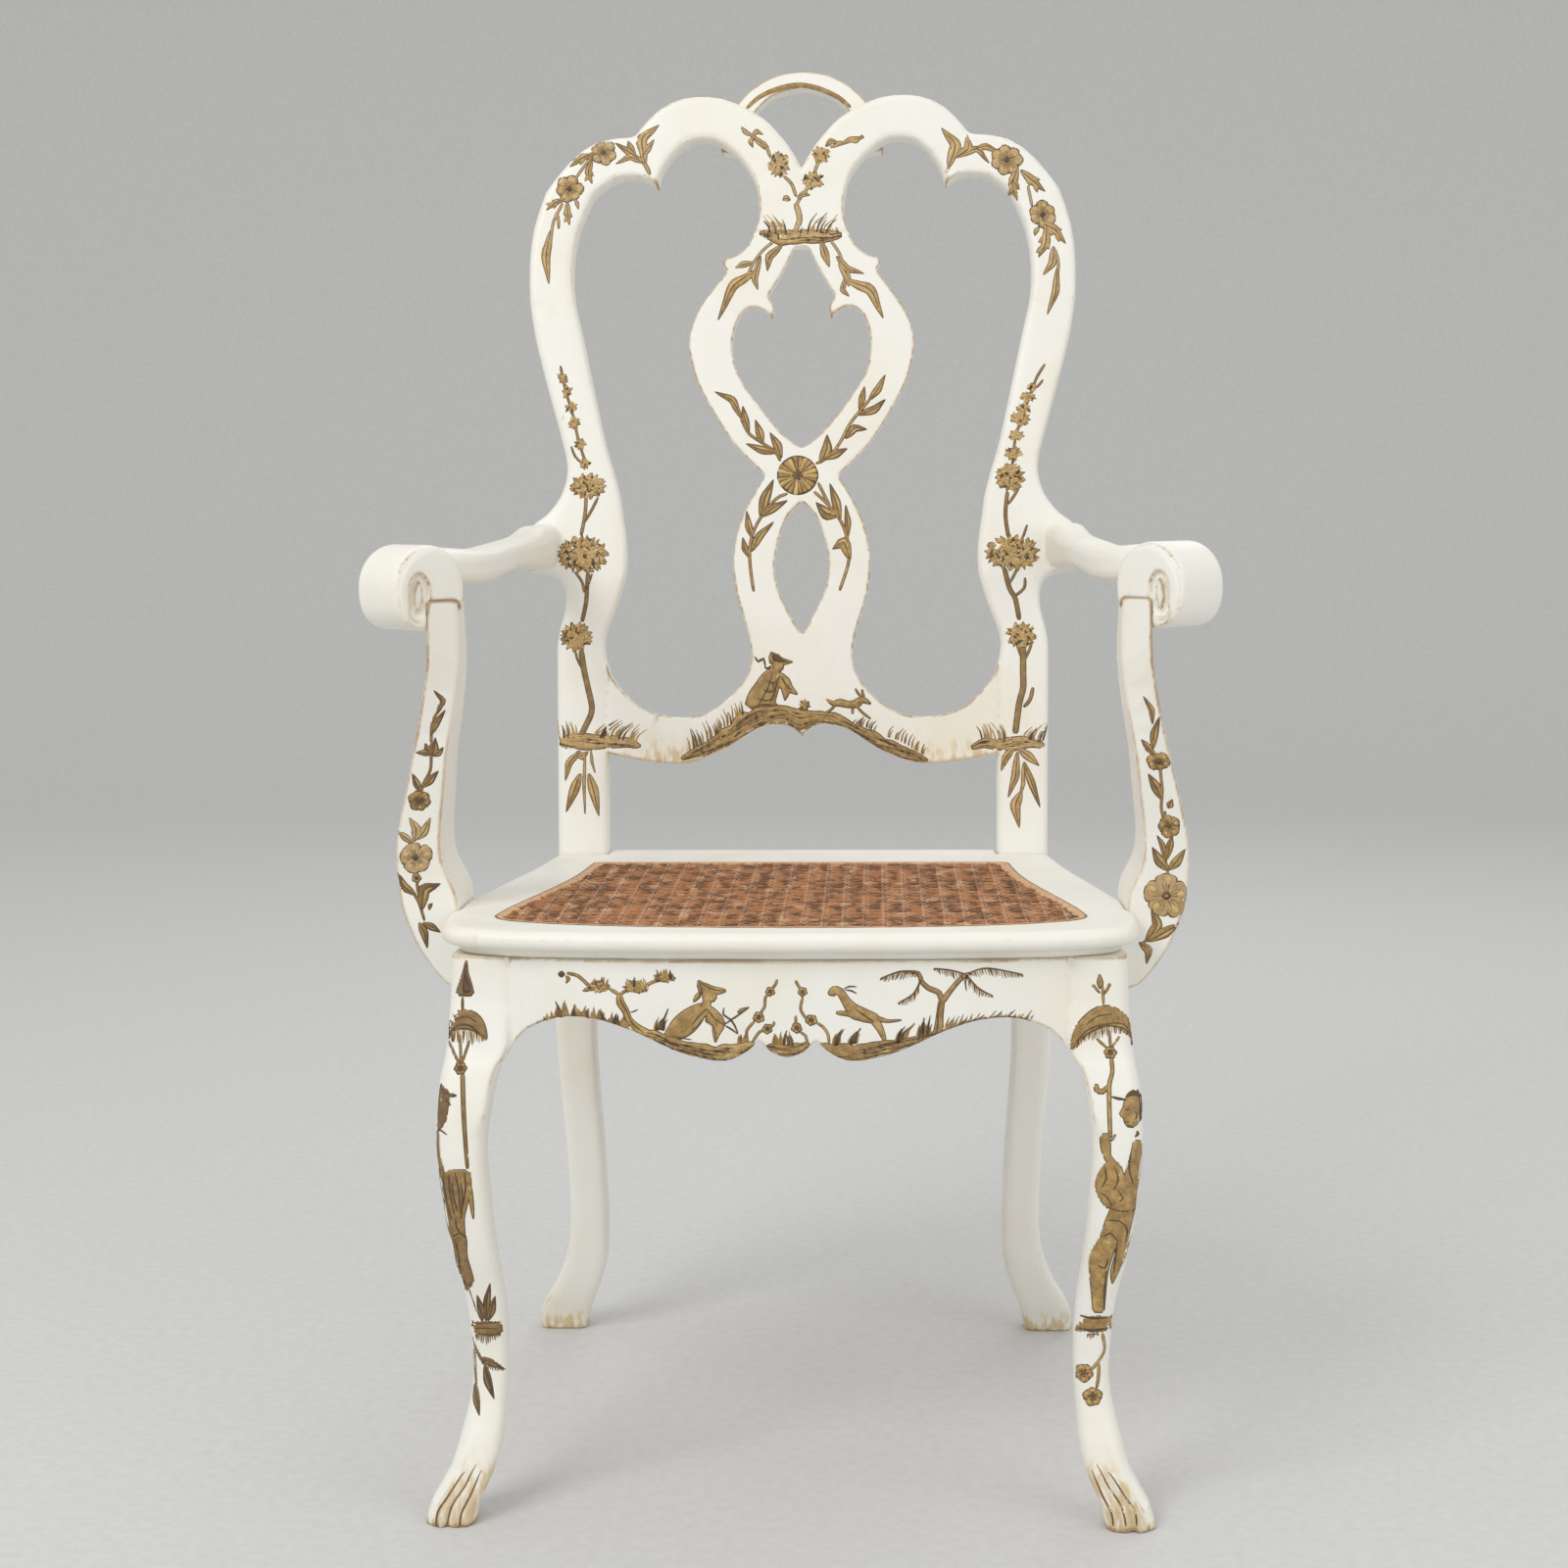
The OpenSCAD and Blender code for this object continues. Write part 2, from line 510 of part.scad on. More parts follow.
// Side rail: follows the rim in plan, with an arched lower edge
module side_rail() {
  outer = spaced(sized(side_rail_shares, rail_x, seat_d), 14);
  inner = inset(outer, rail_t);
  difference() {
    union() {
      loft([for (i = [0:14]) let (
          low = rail_top - rail_h + 0.16 * rail_h * sin(180 * i / 14),
          y0 = i == 0 || i == 14 ? outer[i].y : inner[i].y)
        [[outer[i].x, outer[i].y, low], [outer[i].x, outer[i].y, rail_top],
         [inner[i].x, y0, rail_top], [inner[i].x, y0, low]]], true);
      side_front_tenon();
      side_rear_tenon();
    }
    support_pad(fit);
    support_screws_one(fit);
  }
}

module back_seat_rail() color(wood) placed() {
  translate([-back_rail_x, back_rail_y, rail_top - rail_h])
    cube([2 * back_rail_x, rail_t, rail_h]);
  back_rail_tenons();
}

// Seat rim: a rounded nose over a cove, from the outer edge a to the inner edge b
nose_share = 0.68;
function rim_ring(a, b) = let (r = nose_share * rim_t / 2, e = (b - a) / norm(b - a),
    profile = concat([for (t = [90:36:270]) [r + r * cos(t), r * sin(t) - r]],
      [[0.75 * overhang, -nose_share * rim_t], [0.85 * overhang, -0.84 * rim_t],
       [overhang, -rim_t], [norm(b - a), -rim_t], [norm(b - a), 0]]))
  [for (q = profile) let (p = a + e * q[0]) [p.x, p.y, seat_h + q[1]]];

open_side = sized(open_side_shares, half_w, seat_d);
function open_front(count) = spaced_runs(sized_runs(open_front_shares, half_w, seat_d), count);
// Outline of the cane opening, as seen from above
opening = both_sides(concat(open_front([6, 5]),
  [for (i = [1:8]) spaced(open_side, 8)[i]],
  [[open_side_shares[4].x * half_w - overhang / 4, open_back_share * seat_d]]));

module rebate() translate([0, 0, seat_h - 2 * cane_t]) linear_extrude(overrun) polygon(opening);

module support_notch() {
  translate([rail_x + support_in_share * half_span - fit, support_y - fit, rail_top - rim_t])
    cube([half_w, support_d + 2 * fit, 3 * rim_t]);
}

module rim_screw_holes(play) {
  front_screws(play);
  rear_screws(play);
}

module seat_rim_front() color(paint) placed() {
  a = spaced_runs(sized_runs(rim_front_shares, half_w, seat_d), [8, 8]);
  b = inset(spaced_runs(sized_runs(open_front_shares, half_w, seat_d), [8, 8]), ledge_w);
  last = len(a) - 1;
  outer = concat([for (i = [last:-1:1]) [-a[i].x, a[i].y]], a);
  inner = concat([for (i = [last:-1:1]) [-b[i].x, b[i].y]], b);
  difference() {
    loft([for (i = [0:2 * last]) rim_ring(outer[i], inner[i])]);
    rebate();
    rim_screw_holes(fit);
  }
}

module rim_side() {
  a = spaced(sized(rim_side_shares, half_w, seat_d), 12);
  b0 = inset(spaced(open_side, 12), ledge_w);
  start = inset(open_front([8, 8]), ledge_w)[16];
  b = [for (i = [0:12]) i == 0 ? start : i < 11 ? b0[i]
    : [back_rail_x, i == 12 ? seat_d : b0[11].y]];
  difference() {
    loft([for (i = [0:12]) rim_ring(i == 12 ? [a[12].x, seat_d] : a[i], b[i])]);
    rebate();
    support_notch();
    rim_screw_holes(fit);
  }
}

module seat_rim_back() color(paint) placed() {
  y0 = open_back_share * seat_d - ledge_w;
  difference() {
    translate([-back_rail_x + fit, y0, rail_top])
      cube([2 * (back_rail_x - fit), back_rail_y + rail_t - y0, rim_t]);
    rebate();
    rim_screw_holes(fit);
  }
}

// Cane: crossing strands, cut to the opening and laid on the ledge
module cane_panel() color("sienna") placed() {
  count = floor(half_w / strand_pitch);
  rows = floor(seat_d / strand_pitch);
  translate([0, 0, seat_h - 2 * cane_t]) linear_extrude(cane_t) intersection() {
    offset(delta = -fit) polygon(opening);
    union() {
      for (i = [-count:count]) translate([i * strand_pitch - strand_w / 2, 0])
        square([strand_w, seat_d]);
      for (j = [0:rows]) translate([-half_w, (j + 0.2) * strand_pitch])
        square([seat_w, strand_w]);
    }
  }
}

// Strip that covers the ends of the cane round the opening
module cane_binding() color("peru") placed() {
  translate([0, 0, seat_h - cane_t]) linear_extrude(cane_t) difference() {
    offset(delta = -fit) polygon(opening);
    offset(delta = -0.7 * ledge_w) polygon(opening);
  }
}

// Arm: a swept bar from the post to the roll, flat where it meets the post
arm_z = seat_h + arm_rise - arm_t / 2;
function arm_ring(path, i) = let (s = path[i], last = len(path) - 1,
    reach_x = roll_x - arm_end_x, p = [arm_end_x + s[0] * reach_x, s[1] * seat_d],
    q = path[min(i + 1, last)], r = path[max(i - 1, 0)],
    t = [(q[0] - r[0]) * reach_x, (q[1] - r[1]) * seat_d], side = [t.y, -t.x] / norm(t),
    drop = arm_t * (1 - s[3]) / 2 - arm_t * s[4])
  [for (c = oval(arm_w * s[2], arm_t * s[3], 3.2, 16)) let (m = p + side * c.x)
    [m.x, m.y, arm_z + drop + c.y]];
function arm_end_ring() = let (s = arm_shares[len(arm_shares) - 1],
    drop = arm_t * (1 - s[3]) / 2 - arm_t * s[4])
  [for (c = oval(arm_w * s[2], arm_t * s[3], 3.2, 16)) let (z = arm_z + drop + c.y)
    [arm_end_x + c.x, seat_d + (z - seat_h) * tan(back_rake), z]];

// Roll at the end of the arm: fuller below, with eased edges and a sunk eye in its front face
roll_edge_share = 0.16;
roll_full_power = 2.6;
eye_x_share = 0.37;
eye_y_share = -0.18;
eye_w_share = 0.58;
eye_h_share = 1.04;
eye_ring_share = 0.14;
function roll_ring(r, z) = [for (k = [0:39]) let (a = 360 * k / 40, p = a > 180 ? roll_full_power : 2)
  [r * soft(cos(a), p), r * soft(sin(a), p), z]];
module eye(r, ring) translate([eye_x_share * r, eye_y_share * r])
  polygon(oval(eye_w_share * r - ring, eye_h_share * r - ring, 2, 24));
module roll() {
  r = roll_d / 2;
  edge = roll_edge_share * r;
  cut = edge * (1 - cos(45));
  translate([roll_x, roll_y_share * seat_d, seat_h + arm_rise - r])
    rotate([90, 0, -roll_turn]) translate([0, 0, -roll_l / 2]) difference() {
      loft([roll_ring(r - edge, 0), roll_ring(r - cut, cut), roll_ring(r, edge),
        roll_ring(r, roll_l - edge), roll_ring(r - cut, roll_l - cut), roll_ring(r - edge, roll_l)]);
      translate([0, 0, roll_l - edge / 2]) linear_extrude(edge) difference() {
        eye(r, 0);
        eye(r, 2 * eye_ring_share * r);
      }
    }
}

dowel_x_share = 0.04;
dowel_y_share = -0.17;
module arm_dowel(play = 0) {
  translate([rail_x + dowel_x_share * half_span, support_y + dowel_y_share * support_d,
      support_top - dowel_d - play])
    cylinder(d = dowel_d + 2 * play, h = 2 * (dowel_d + play), $fn = 32);
}

module arm() {
  path = run(arm_shares, 2);
  difference() {
    union() {
      loft(concat([for (i = [0:len(path) - 1]) arm_ring(path, i)], [arm_end_ring()]), true);
      roll();
    }
    arm_support_top();
    translate([0, 0, support_top - roll_d]) cube([rail_x, seat_d / 2, roll_d]);
    arm_dowel(fit);
    arm_screw(fit);
  }
}

function support_ring(s) = let (x0 = rail_x + s[1] * half_span, x1 = rail_x + s[2] * half_span,
    w = x1 - x0, d = s[3] * support_d, z = support_foot + s[0] * (support_top - support_foot),
    twist = tan(roll_turn) * max(0, min((s[0] - twist_from_share) / twist_run_share, 1)))
  [for (c = eased(w, d, min(support_d / 36, w / 4)))
    [x0 + w / 2 + c.x, support_y + s[4] * support_d + d / 2 + c.y - twist * c.x, z]];
module support_pad(play = 0) {
  translate([rail_x - pad - play, support_y - play, rail_top - pad_h - play])
    cube([pad + support_in_share * half_span, support_d + 2 * play, pad_h + 2 * play]);
}
// The part of the support that is let into the roll
module arm_support_top() let (last = len(support_shares) - 1)
  loft([for (s = run([for (i = [last - 3:last]) support_shares[i]], 2)) support_ring(s)]);
module arm_support_body() {
  loft([for (s = run(support_shares, 2)) support_ring(s)]);
  support_pad();
}

module support_screws_one(play = 0) {
  for (s = [0.3, 0.7]) translate([rail_x - rail_t, support_y + s * support_d,
      support_foot + 0.42 * (rail_top - support_foot)]) rotate([0, 90, 0])
    screw(rail_t + head_d / 2, play);
}

module arm_support() difference() {
  arm_support_body();
  arm_dowel(fit);
  support_screws_one(fit);
}

// Corner blocks glued inside the frame, each with a screw up into the rim
module front_block() {
  x1 = leg_in_share * half_w - fit;
  x2 = rail_x - rail_t - fit;
  y0 = apron_back + fit;
  y1 = leg_back_share * seat_d + fit;
  translate([0, 0, rail_top - block_h]) linear_extrude(block_h)
    polygon([[x1 - block_leg, y0], [x1, y0], [x1, y1], [x2, y1], [x2, y1 + block_leg]]);
}

rear_block_x = side_rail_shares[6].x * rail_x - rail_t;
module rear_block() {
  x1 = back_rail_x - fit;
  y0 = back_rail_y - fit;
  y1 = seat_d - fit;
  translate([0, 0, rail_top - block_h]) linear_extrude(block_h)
    polygon([[x1 - block_leg, y0], [x1, y0], [x1, y1], [rear_block_x - fit, y1],
      [rear_block_x - fit, y1 - block_leg]]);
}

module screw_up(x, y, play)
  translate([x, y, rail_top - block_h]) screw(block_h + rim_t / 2, play);

module front_screws(play = 0) two_sides()
  screw_up(leg_in_share * half_w - 0.2 * block_leg,
    apron_back + 0.22 * block_leg, play);

module rear_screws(play = 0) two_sides()
  screw_up(back_rail_x - 0.2 * block_leg, back_rail_y - 0.3 * block_leg, play);

module front_corner_blocks() color(wood) placed() difference() {
  two_sides() front_block();
  front_screws(fit);
}

module rear_corner_blocks() color(wood) placed() difference() {
  two_sides() rear_block();
  rear_screws(fit);
}

module front_leg_right() color(paint) placed() front_leg();
module front_leg_left() color(paint) placed() mirror([1, 0, 0]) front_leg();
module rear_post_right() color(paint) placed() rear_post();
module rear_post_left() color(paint) placed() mirror([1, 0, 0]) rear_post();
module side_rail_right() color(paint) placed() side_rail();
module side_rail_left() color(paint) placed() mirror([1, 0, 0]) side_rail();
module seat_rim_right() color(paint) placed() rim_side();
module seat_rim_left() color(paint) placed() mirror([1, 0, 0]) rim_side();
module arm_right() color(paint) placed() arm();
module arm_left() color(paint) placed() mirror([1, 0, 0]) arm();
module arm_support_right() color(paint) placed() arm_support();
module arm_support_left() color(paint) placed() mirror([1, 0, 0]) arm_support();
module rim_screws() color(steel) placed() { front_screws(); rear_screws(); }
module arm_screws() color(steel) placed() two_sides() arm_screw();
module support_screws() color(steel) placed() two_sides() support_screws_one();
module handle_screws() color(steel) placed() two_sides() handle_screw();
module arm_dowels() color(wood) placed() two_sides() arm_dowel();

front_leg_left();
front_leg_right();
rear_post_left();
rear_post_right();
crest_rail();
crest_handle();
splat();
stay_rail();
front_apron();
side_rail_left();
side_rail_right();
back_seat_rail();
seat_rim_front();
seat_rim_left();
seat_rim_right();
seat_rim_back();
cane_panel();
cane_binding();
arm_left();
arm_right();
arm_support_left();
arm_support_right();
front_corner_blocks();
rear_corner_blocks();
rim_screws();
arm_screws();
support_screws();
handle_screws();
arm_dowels();
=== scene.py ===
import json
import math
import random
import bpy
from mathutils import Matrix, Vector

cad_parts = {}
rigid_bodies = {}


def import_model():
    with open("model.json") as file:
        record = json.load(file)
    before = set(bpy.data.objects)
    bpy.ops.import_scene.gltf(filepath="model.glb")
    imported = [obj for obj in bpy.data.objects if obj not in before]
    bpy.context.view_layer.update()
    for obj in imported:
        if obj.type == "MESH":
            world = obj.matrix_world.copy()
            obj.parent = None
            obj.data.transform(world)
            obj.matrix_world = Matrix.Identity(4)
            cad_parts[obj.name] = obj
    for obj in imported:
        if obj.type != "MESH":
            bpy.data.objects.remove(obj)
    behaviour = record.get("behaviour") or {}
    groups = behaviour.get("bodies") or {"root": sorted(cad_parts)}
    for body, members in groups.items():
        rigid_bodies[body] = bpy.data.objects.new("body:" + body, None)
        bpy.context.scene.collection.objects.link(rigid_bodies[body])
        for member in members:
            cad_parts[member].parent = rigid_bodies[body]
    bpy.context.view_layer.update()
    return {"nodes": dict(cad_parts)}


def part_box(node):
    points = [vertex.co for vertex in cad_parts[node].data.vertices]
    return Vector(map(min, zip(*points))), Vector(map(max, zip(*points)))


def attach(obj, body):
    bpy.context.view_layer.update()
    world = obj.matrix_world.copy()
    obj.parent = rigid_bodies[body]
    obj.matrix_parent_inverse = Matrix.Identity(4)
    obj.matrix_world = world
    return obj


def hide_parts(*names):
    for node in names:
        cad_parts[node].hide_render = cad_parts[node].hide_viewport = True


bl_info = {
    "name": "Painted Armchair",
    "version": (1, 0, 0),
    "blender": (4, 5, 0),
    "location": "3D View > Sidebar > Armchair",
    "description": "Builds the painted and gilded armchair round its construction frame",
    "category": "Object",
}

import bmesh
import bpy
import numpy as np
from bpy.props import FloatProperty, FloatVectorProperty, PointerProperty
from mathutils import Matrix, Vector
from mathutils.bvhtree import BVHTree
from mathutils.geometry import convex_hull_2d

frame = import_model()

BODY = "root"
PICTURE = 1600  # side of the square picture, in pixels
SENSOR = 36  # width of the camera's sensor, in millimetres
TOE_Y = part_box("front_leg_left")[0].y  # foremost point of the feet
STAY_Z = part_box("stay_rail")[0].z  # lowest point of the stay rail


# ---------------------------------------------------------------- settings


def colour(name, text, rgb):
    return FloatVectorProperty(
        name=name, description=text, subtype="COLOR", size=3, min=0, max=1, default=rgb
    )


def length(name, text, metres):
    return FloatProperty(
        name=name, description=text, subtype="DISTANCE", unit="LENGTH", min=0,
        precision=5, default=metres,
    )


class PaintSettings(bpy.types.PropertyGroup):
    ivory: colour("Ivory", "Fresh part of the ground paint", (0.86, 0.845, 0.775))
    cream: colour("Cream", "Yellowed part of the ground paint", (0.80, 0.735, 0.58))
    worn: colour("Worn", "Brown that shows at rubbed edges", (0.40, 0.245, 0.12))
    gilt: colour("Gilt", "Main tone of the gilding", (0.36, 0.22, 0.075))
    gilt_light: colour("Light gilt", "Lights in the gilding", (0.60, 0.40, 0.15))
    line: colour("Line", "Umber of the outlines", (0.085, 0.048, 0.022))
    cane: colour("Cane", "Stained cane", (0.44, 0.185, 0.068))
    cane_dry: colour("Dry cane", "Cane where the stain is rubbed off", (0.62, 0.38, 0.2))
    bare: colour("Bare wood", "Unpainted wood under the seat", (0.42, 0.27, 0.15))
    steel: colour("Steel", "Screws", (0.42, 0.42, 0.43))


class SizeSettings(bpy.types.PropertyGroup):
    skin: length("Skin", "Grid on which the rails and the seat frame are rounded", 0.002)
    fine_skin: length("Fine skin", "Grid for the back, the arms and the legs", 0.0015)
    finest_skin: length("Finest skin", "Grid for the bail", 0.0012)
    relief: length("Relief", "How far the gilding stands out", 0.0004)
    strand: length("Strand", "Width of one cane strand", 0.0024)
    pitch: length("Pitch", "Pitch of the cane holes", 0.0158)
    groove: length("Groove", "Depth of the grooves in hoof and scroll", 0.0018)


class ViewSettings(bpy.types.PropertyGroup):
    focal: FloatProperty(
        name="Focal length", description="In pixels of the picture", default=2700, min=100
    )
    height: length("Height", "Of the eye above the floor", 0.790)
    distance: length("Distance", "From the eye to the toes of the chair", 1.930)
    aside: FloatProperty(
        name="Aside", description="How far the chair stands to the right of the axis",
        subtype="DISTANCE", unit="LENGTH", default=0.0004,
    )
    tilt: FloatProperty(
        name="Tilt", description="Downward tilt", subtype="ANGLE", default=math.radians(6.5)
    )
    turn: FloatProperty(
        name="Turn", description="Turn of the chair", subtype="ANGLE",
        default=math.radians(2.0),
    )
    roll: FloatProperty(
        name="Roll", description="Roll of the picture", subtype="ANGLE",
        default=math.radians(0.33),
    )
    lamp: FloatProperty(
        name="Lamp", description="Power of the main lamp", subtype="POWER", unit="POWER",
        default=49, min=0,
    )


def paint():
    return bpy.context.scene.armchair_paint


def sizes():
    return bpy.context.scene.armchair_size


def view():
    return bpy.context.scene.armchair_view


# ---------------------------------------------------------------- view


def eye_matrix():
    """Place and direction of the camera, from the settings."""
    v = view()
    turn, tilt = v.turn, v.tilt
    place = Vector((
        v.distance * math.sin(turn) - v.aside * math.cos(turn),
        TOE_Y - v.aside * math.sin(turn) - v.distance * math.cos(turn),
        v.height,
    ))
    ahead = Vector((
        -math.sin(turn) * math.cos(tilt), math.cos(turn) * math.cos(tilt), -math.sin(tilt)
    ))
    right = Vector((math.cos(turn), math.sin(turn), 0))
    up = right.cross(ahead)
    turned = Matrix((right, up, -ahead)).transposed().to_4x4()
    return Matrix.Translation(place) @ turned @ Matrix.Rotation(-v.roll, 4, "Z")


def sight(x, y):
    """Start and direction of the line of sight through a pixel of the picture."""
    eye = eye_matrix()
    focal = view().focal
    aim = Vector(((x - PICTURE / 2) / focal, (PICTURE / 2 - y) / focal, -1))
    return eye.translation, (eye.to_3x3() @ aim).normalized()


# ---------------------------------------------------------------- materials


class Finish:
    """Shorthand for the nodes of one finish."""

    def __init__(self, name):
        self.material = bpy.data.materials.new(name)
        self.material.use_nodes = True
        self.tree = self.material.node_tree
        self.shader = self.tree.nodes["Principled BSDF"]
        self.place = self.add("ShaderNodeTexCoord").outputs["Object"]

    def add(self, kind, inputs=None, **settings):
        node = self.tree.nodes.new(kind)
        for name, value in settings.items():
            setattr(node, name, value)
        for name, value in (inputs or {}).items():
            self.link(value, node.inputs[name])
        return node

    def link(self, value, socket):
        """Feeds a socket with a number, a colour or what another node gives."""
        if isinstance(value, bpy.types.NodeSocket):
            self.tree.links.new(value, socket)
        elif isinstance(value, (int, float)):
            socket.default_value = value
        else:
            socket.default_value = (*value, 1)

    def noise(self, size, detail=3, stretch=(1, 1, 1)):
        """Noise with features of about this size, in metres."""
        place = self.add("ShaderNodeMapping", {"Vector": self.place})
        place.inputs["Scale"].default_value = stretch
        return self.add("ShaderNodeTexNoise", {
            "Scale": 1 / size, "Detail": detail, "Roughness": 0.55,
            "Vector": place.outputs["Vector"],
        }).outputs["Fac"]

    def cracks(self, size, width):
        """Thin lines between cells of this size, bent a little."""
        wobble = self.add("ShaderNodeTexNoise", {"Scale": 2 / size, "Vector": self.place})
        bent = self.add("ShaderNodeMix", {
            "Factor": 0.012, "A": self.place, "B": wobble.outputs["Color"],
        }, data_type="VECTOR")
        cells = self.add("ShaderNodeTexVoronoi", {
            "Scale": 1 / size, "Vector": bent.outputs["Result"],
        }, feature="DISTANCE_TO_EDGE")
        return self.ramp(cells.outputs["Distance"], 0, width, 1, 0)

    def ramp(self, value, low, high, out_low=0.0, out_high=1.0):
        return self.add("ShaderNodeMapRange", {
            "Value": value, "From Min": low, "From Max": high,
            "To Min": out_low, "To Max": out_high,
        }, clamp=True).outputs["Result"]

    def sum(self, kind, a, b):
        node = self.add("ShaderNodeMath", operation=kind, use_clamp=True)
        for value, socket in zip((a, b), node.inputs):
            self.link(value, socket)
        return node.outputs[0]

    def times(self, a, b):
        return self.sum("MULTIPLY", a, b)

    def blend(self, share, a, b):
        """Colour a where share is 0 and b where it is 1."""
        return self.add(
            "ShaderNodeMix", {"Factor": share, "A": a, "B": b}, data_type="RGBA"
        ).outputs["Result"]

    def drawn(self, name):
        """A value that the piece carries at its points."""
        return self.add("ShaderNodeAttribute", attribute_name=name).outputs["Fac"]

    def finish(self, base, rough, height=None, depth=0.0002):
        self.link(base, self.shader.inputs["Base Color"])
        self.link(rough, self.shader.inputs["Roughness"])
        if height is not None:
            bump = self.add("ShaderNodeBump", {
                "Strength": 0.6, "Distance": depth, "Height": height,
            })
            self.link(bump.outputs["Normal"], self.shader.inputs["Normal"])
        return self.material


def toned(rgb, share, more=0.0):
    """A colour made lighter or darker."""
    return tuple(min(1, share * a + more) for a in rgb)


def paint_finish():
    """Ivory paint: yellowed in clouds, rubbed brown at edges, dirty in hollows, darkened along the
    furrows by dirt and painted shade.
    """
    c = paint()
    f = Finish("aged_ivory_paint")
    clouds = f.ramp(f.noise(0.09, 4), 0.46, 0.72)
    base = f.blend(f.times(clouds, 0.5), c.ivory, c.cream)
    streaks = f.ramp(f.noise(0.02, 5, (1, 1, 0.25)), 0.56, 0.74)
    base = f.blend(f.times(streaks, 0.22), base, c.cream)
    edge = f.drawn("edge")
    base = f.blend(f.ramp(edge, 0.2, 0.6, 0, 0.7), base, c.cream)
    edge = f.times(edge, f.ramp(f.noise(0.03, 5), 0.35, 0.6, 0.5, 1))
    base = f.blend(f.ramp(edge, 0.25, 0.7, 0, 0.85), base, c.worn)
    hollow = f.times(f.drawn("hollow"), f.ramp(f.noise(0.02, 3), 0.3, 0.6, 0.5, 1))
    base = f.blend(f.ramp(hollow, 0.15, 1, 0, 0.55), base, c.cream)
    patches = f.ramp(f.noise(0.006, 4, (1, 1, 0.3)), 0.28, 0.6)
    soiled = f.times(f.drawn("soiled"), patches)
    base = f.blend(f.ramp(soiled, 0.05, 0.4, 0, 0.9), base, c.cream)
    base = f.blend(f.ramp(soiled, 0.25, 0.5, 0, 0.6), base, c.gilt_light)
    base = f.blend(f.ramp(soiled, 0.6, 0.9, 0, 0.85), base, c.worn)
    # darker along the furrows: dirt, and painted shade in the grooves
    base = f.blend(f.ramp(f.drawn("furrow_darkening"), 0.2, 0.85, 0, 0.85), base, c.worn)
    lines = f.times(f.cracks(0.022, 0.01), f.ramp(f.noise(0.12, 2), 0.55, 0.65))
    base = f.blend(f.times(lines, 0.14), base, c.worn)
    ripple = f.times(f.noise(0.004, 4), 0.6)
    height = f.sum("SUBTRACT", ripple, f.times(lines, 0.2))
    rough = f.ramp(f.noise(0.03, 3), 0.3, 0.7, 0.36, 0.52)
    return f.finish(base, rough, height, 0.00035)


def gilt_finish(name, main, light, metal):
    """Bronze paint whose strokes darken towards umber and pale by their tone: where the brush was
    pressed, and on the left arm support as painted shade and painted sunlight.
    """
    c = paint()
    f = Finish(name)
    base = f.blend(f.ramp(f.noise(0.006, 4), 0.4, 0.68), main, light)
    tone = f.drawn("tone")
    # tone above 0 darkens the gilding and below 0 pales it; on the left arm support this is
    # painted shade and painted sunlight
    base = f.blend(f.ramp(tone, 0, 1, 0, 0.92), base, toned(c.line, 1.3))
    base = f.blend(f.ramp(tone, -1, 0, 0.85, 0), base, toned(c.gilt_light, 0.72, 0.13))
    base = f.blend(f.ramp(f.noise(0.0022, 3), 0.58, 0.72, 0, 0.6), base, c.line)
    f.shader.inputs["Metallic"].default_value = metal
    rough = f.ramp(f.noise(0.004), 0.3, 0.7, 0.35, 0.6)
    return f.finish(base, rough, f.noise(0.0015), 0.0002)


def line_finish():
    c = paint()
    f = Finish("umber_line")
    base = f.blend(f.ramp(f.noise(0.008, 3), 0.45, 0.8, 0, 0.45), c.line, c.gilt)
    return f.finish(base, 0.5, f.noise(0.002, 2), 0.0001)


def cane_finish():
    c = paint()
    f = Finish("stained_cane")
    pale = f.times(f.drawn("tone"), f.ramp(f.noise(0.03, 4), 0.35, 0.65, 0.1, 1))
    between = tuple(0.5 * a + 0.5 * b for a, b in zip(c.cane, c.cane_dry))
    base = f.blend(pale, c.cane, between)
    # dark dashes over the strands: painted shade of the holes in the weave
    dark = f.ramp(f.noise(0.011, 3, (1, 0.5, 1)), 0.46, 0.58, 0, 0.78)
    base = f.blend(dark, base, toned(c.cane, 0.3))
    dry = f.ramp(f.noise(0.013, 4, (1, 0.55, 1)), 0.57, 0.64)
    base = f.blend(f.times(dry, 0.85), base, c.cane_dry)
    rough = f.ramp(f.noise(0.01), 0.3, 0.7, 0.42, 0.62)
    return f.finish(base, rough, f.noise(0.0012), 0.0003)


def strip_finish():
    c = paint()
    f = Finish("dry_cane_strip")
    base = f.blend(f.ramp(f.noise(0.006, 4), 0.52, 0.7), c.cane_dry, c.cane)
    pale = toned(c.cane_dry, 1.25, 0.06)
    base = f.blend(f.ramp(f.noise(0.003, 4), 0.52, 0.66), base, pale)
    return f.finish(base, 0.7, f.noise(0.0015, 4), 0.0004)


def bare_finish():
    c = paint()
    f = Finish("bare_wood")
    grain = f.noise(0.004, 5, (0.08, 1, 1))
    base = f.blend(f.ramp(grain, 0.35, 0.7), c.bare, toned(c.bare, 1.4))
    base = f.blend(f.ramp(f.noise(0.06, 3), 0.5, 0.7, 0, 0.4), base, c.worn)
    return f.finish(base, 0.75, grain, 0.0003)


def steel_finish():
    c = paint()
    f = Finish("dull_steel")
    base = f.blend(f.ramp(f.noise(0.003, 3), 0.5, 0.7, 0, 0.6), c.steel, c.worn)
    f.shader.inputs["Metallic"].default_value = 0.9
    return f.finish(base, f.ramp(f.noise(0.002), 0.3, 0.7, 0.35, 0.6))


def main_gilt():
    c = paint()
    return gilt_finish("aged_gilt", c.gilt, c.gilt_light, 0.15)


def light_gilt():
    c = paint()
    return gilt_finish("light_gilt", c.gilt_light, toned(c.gilt_light, 1.25), 0.1)


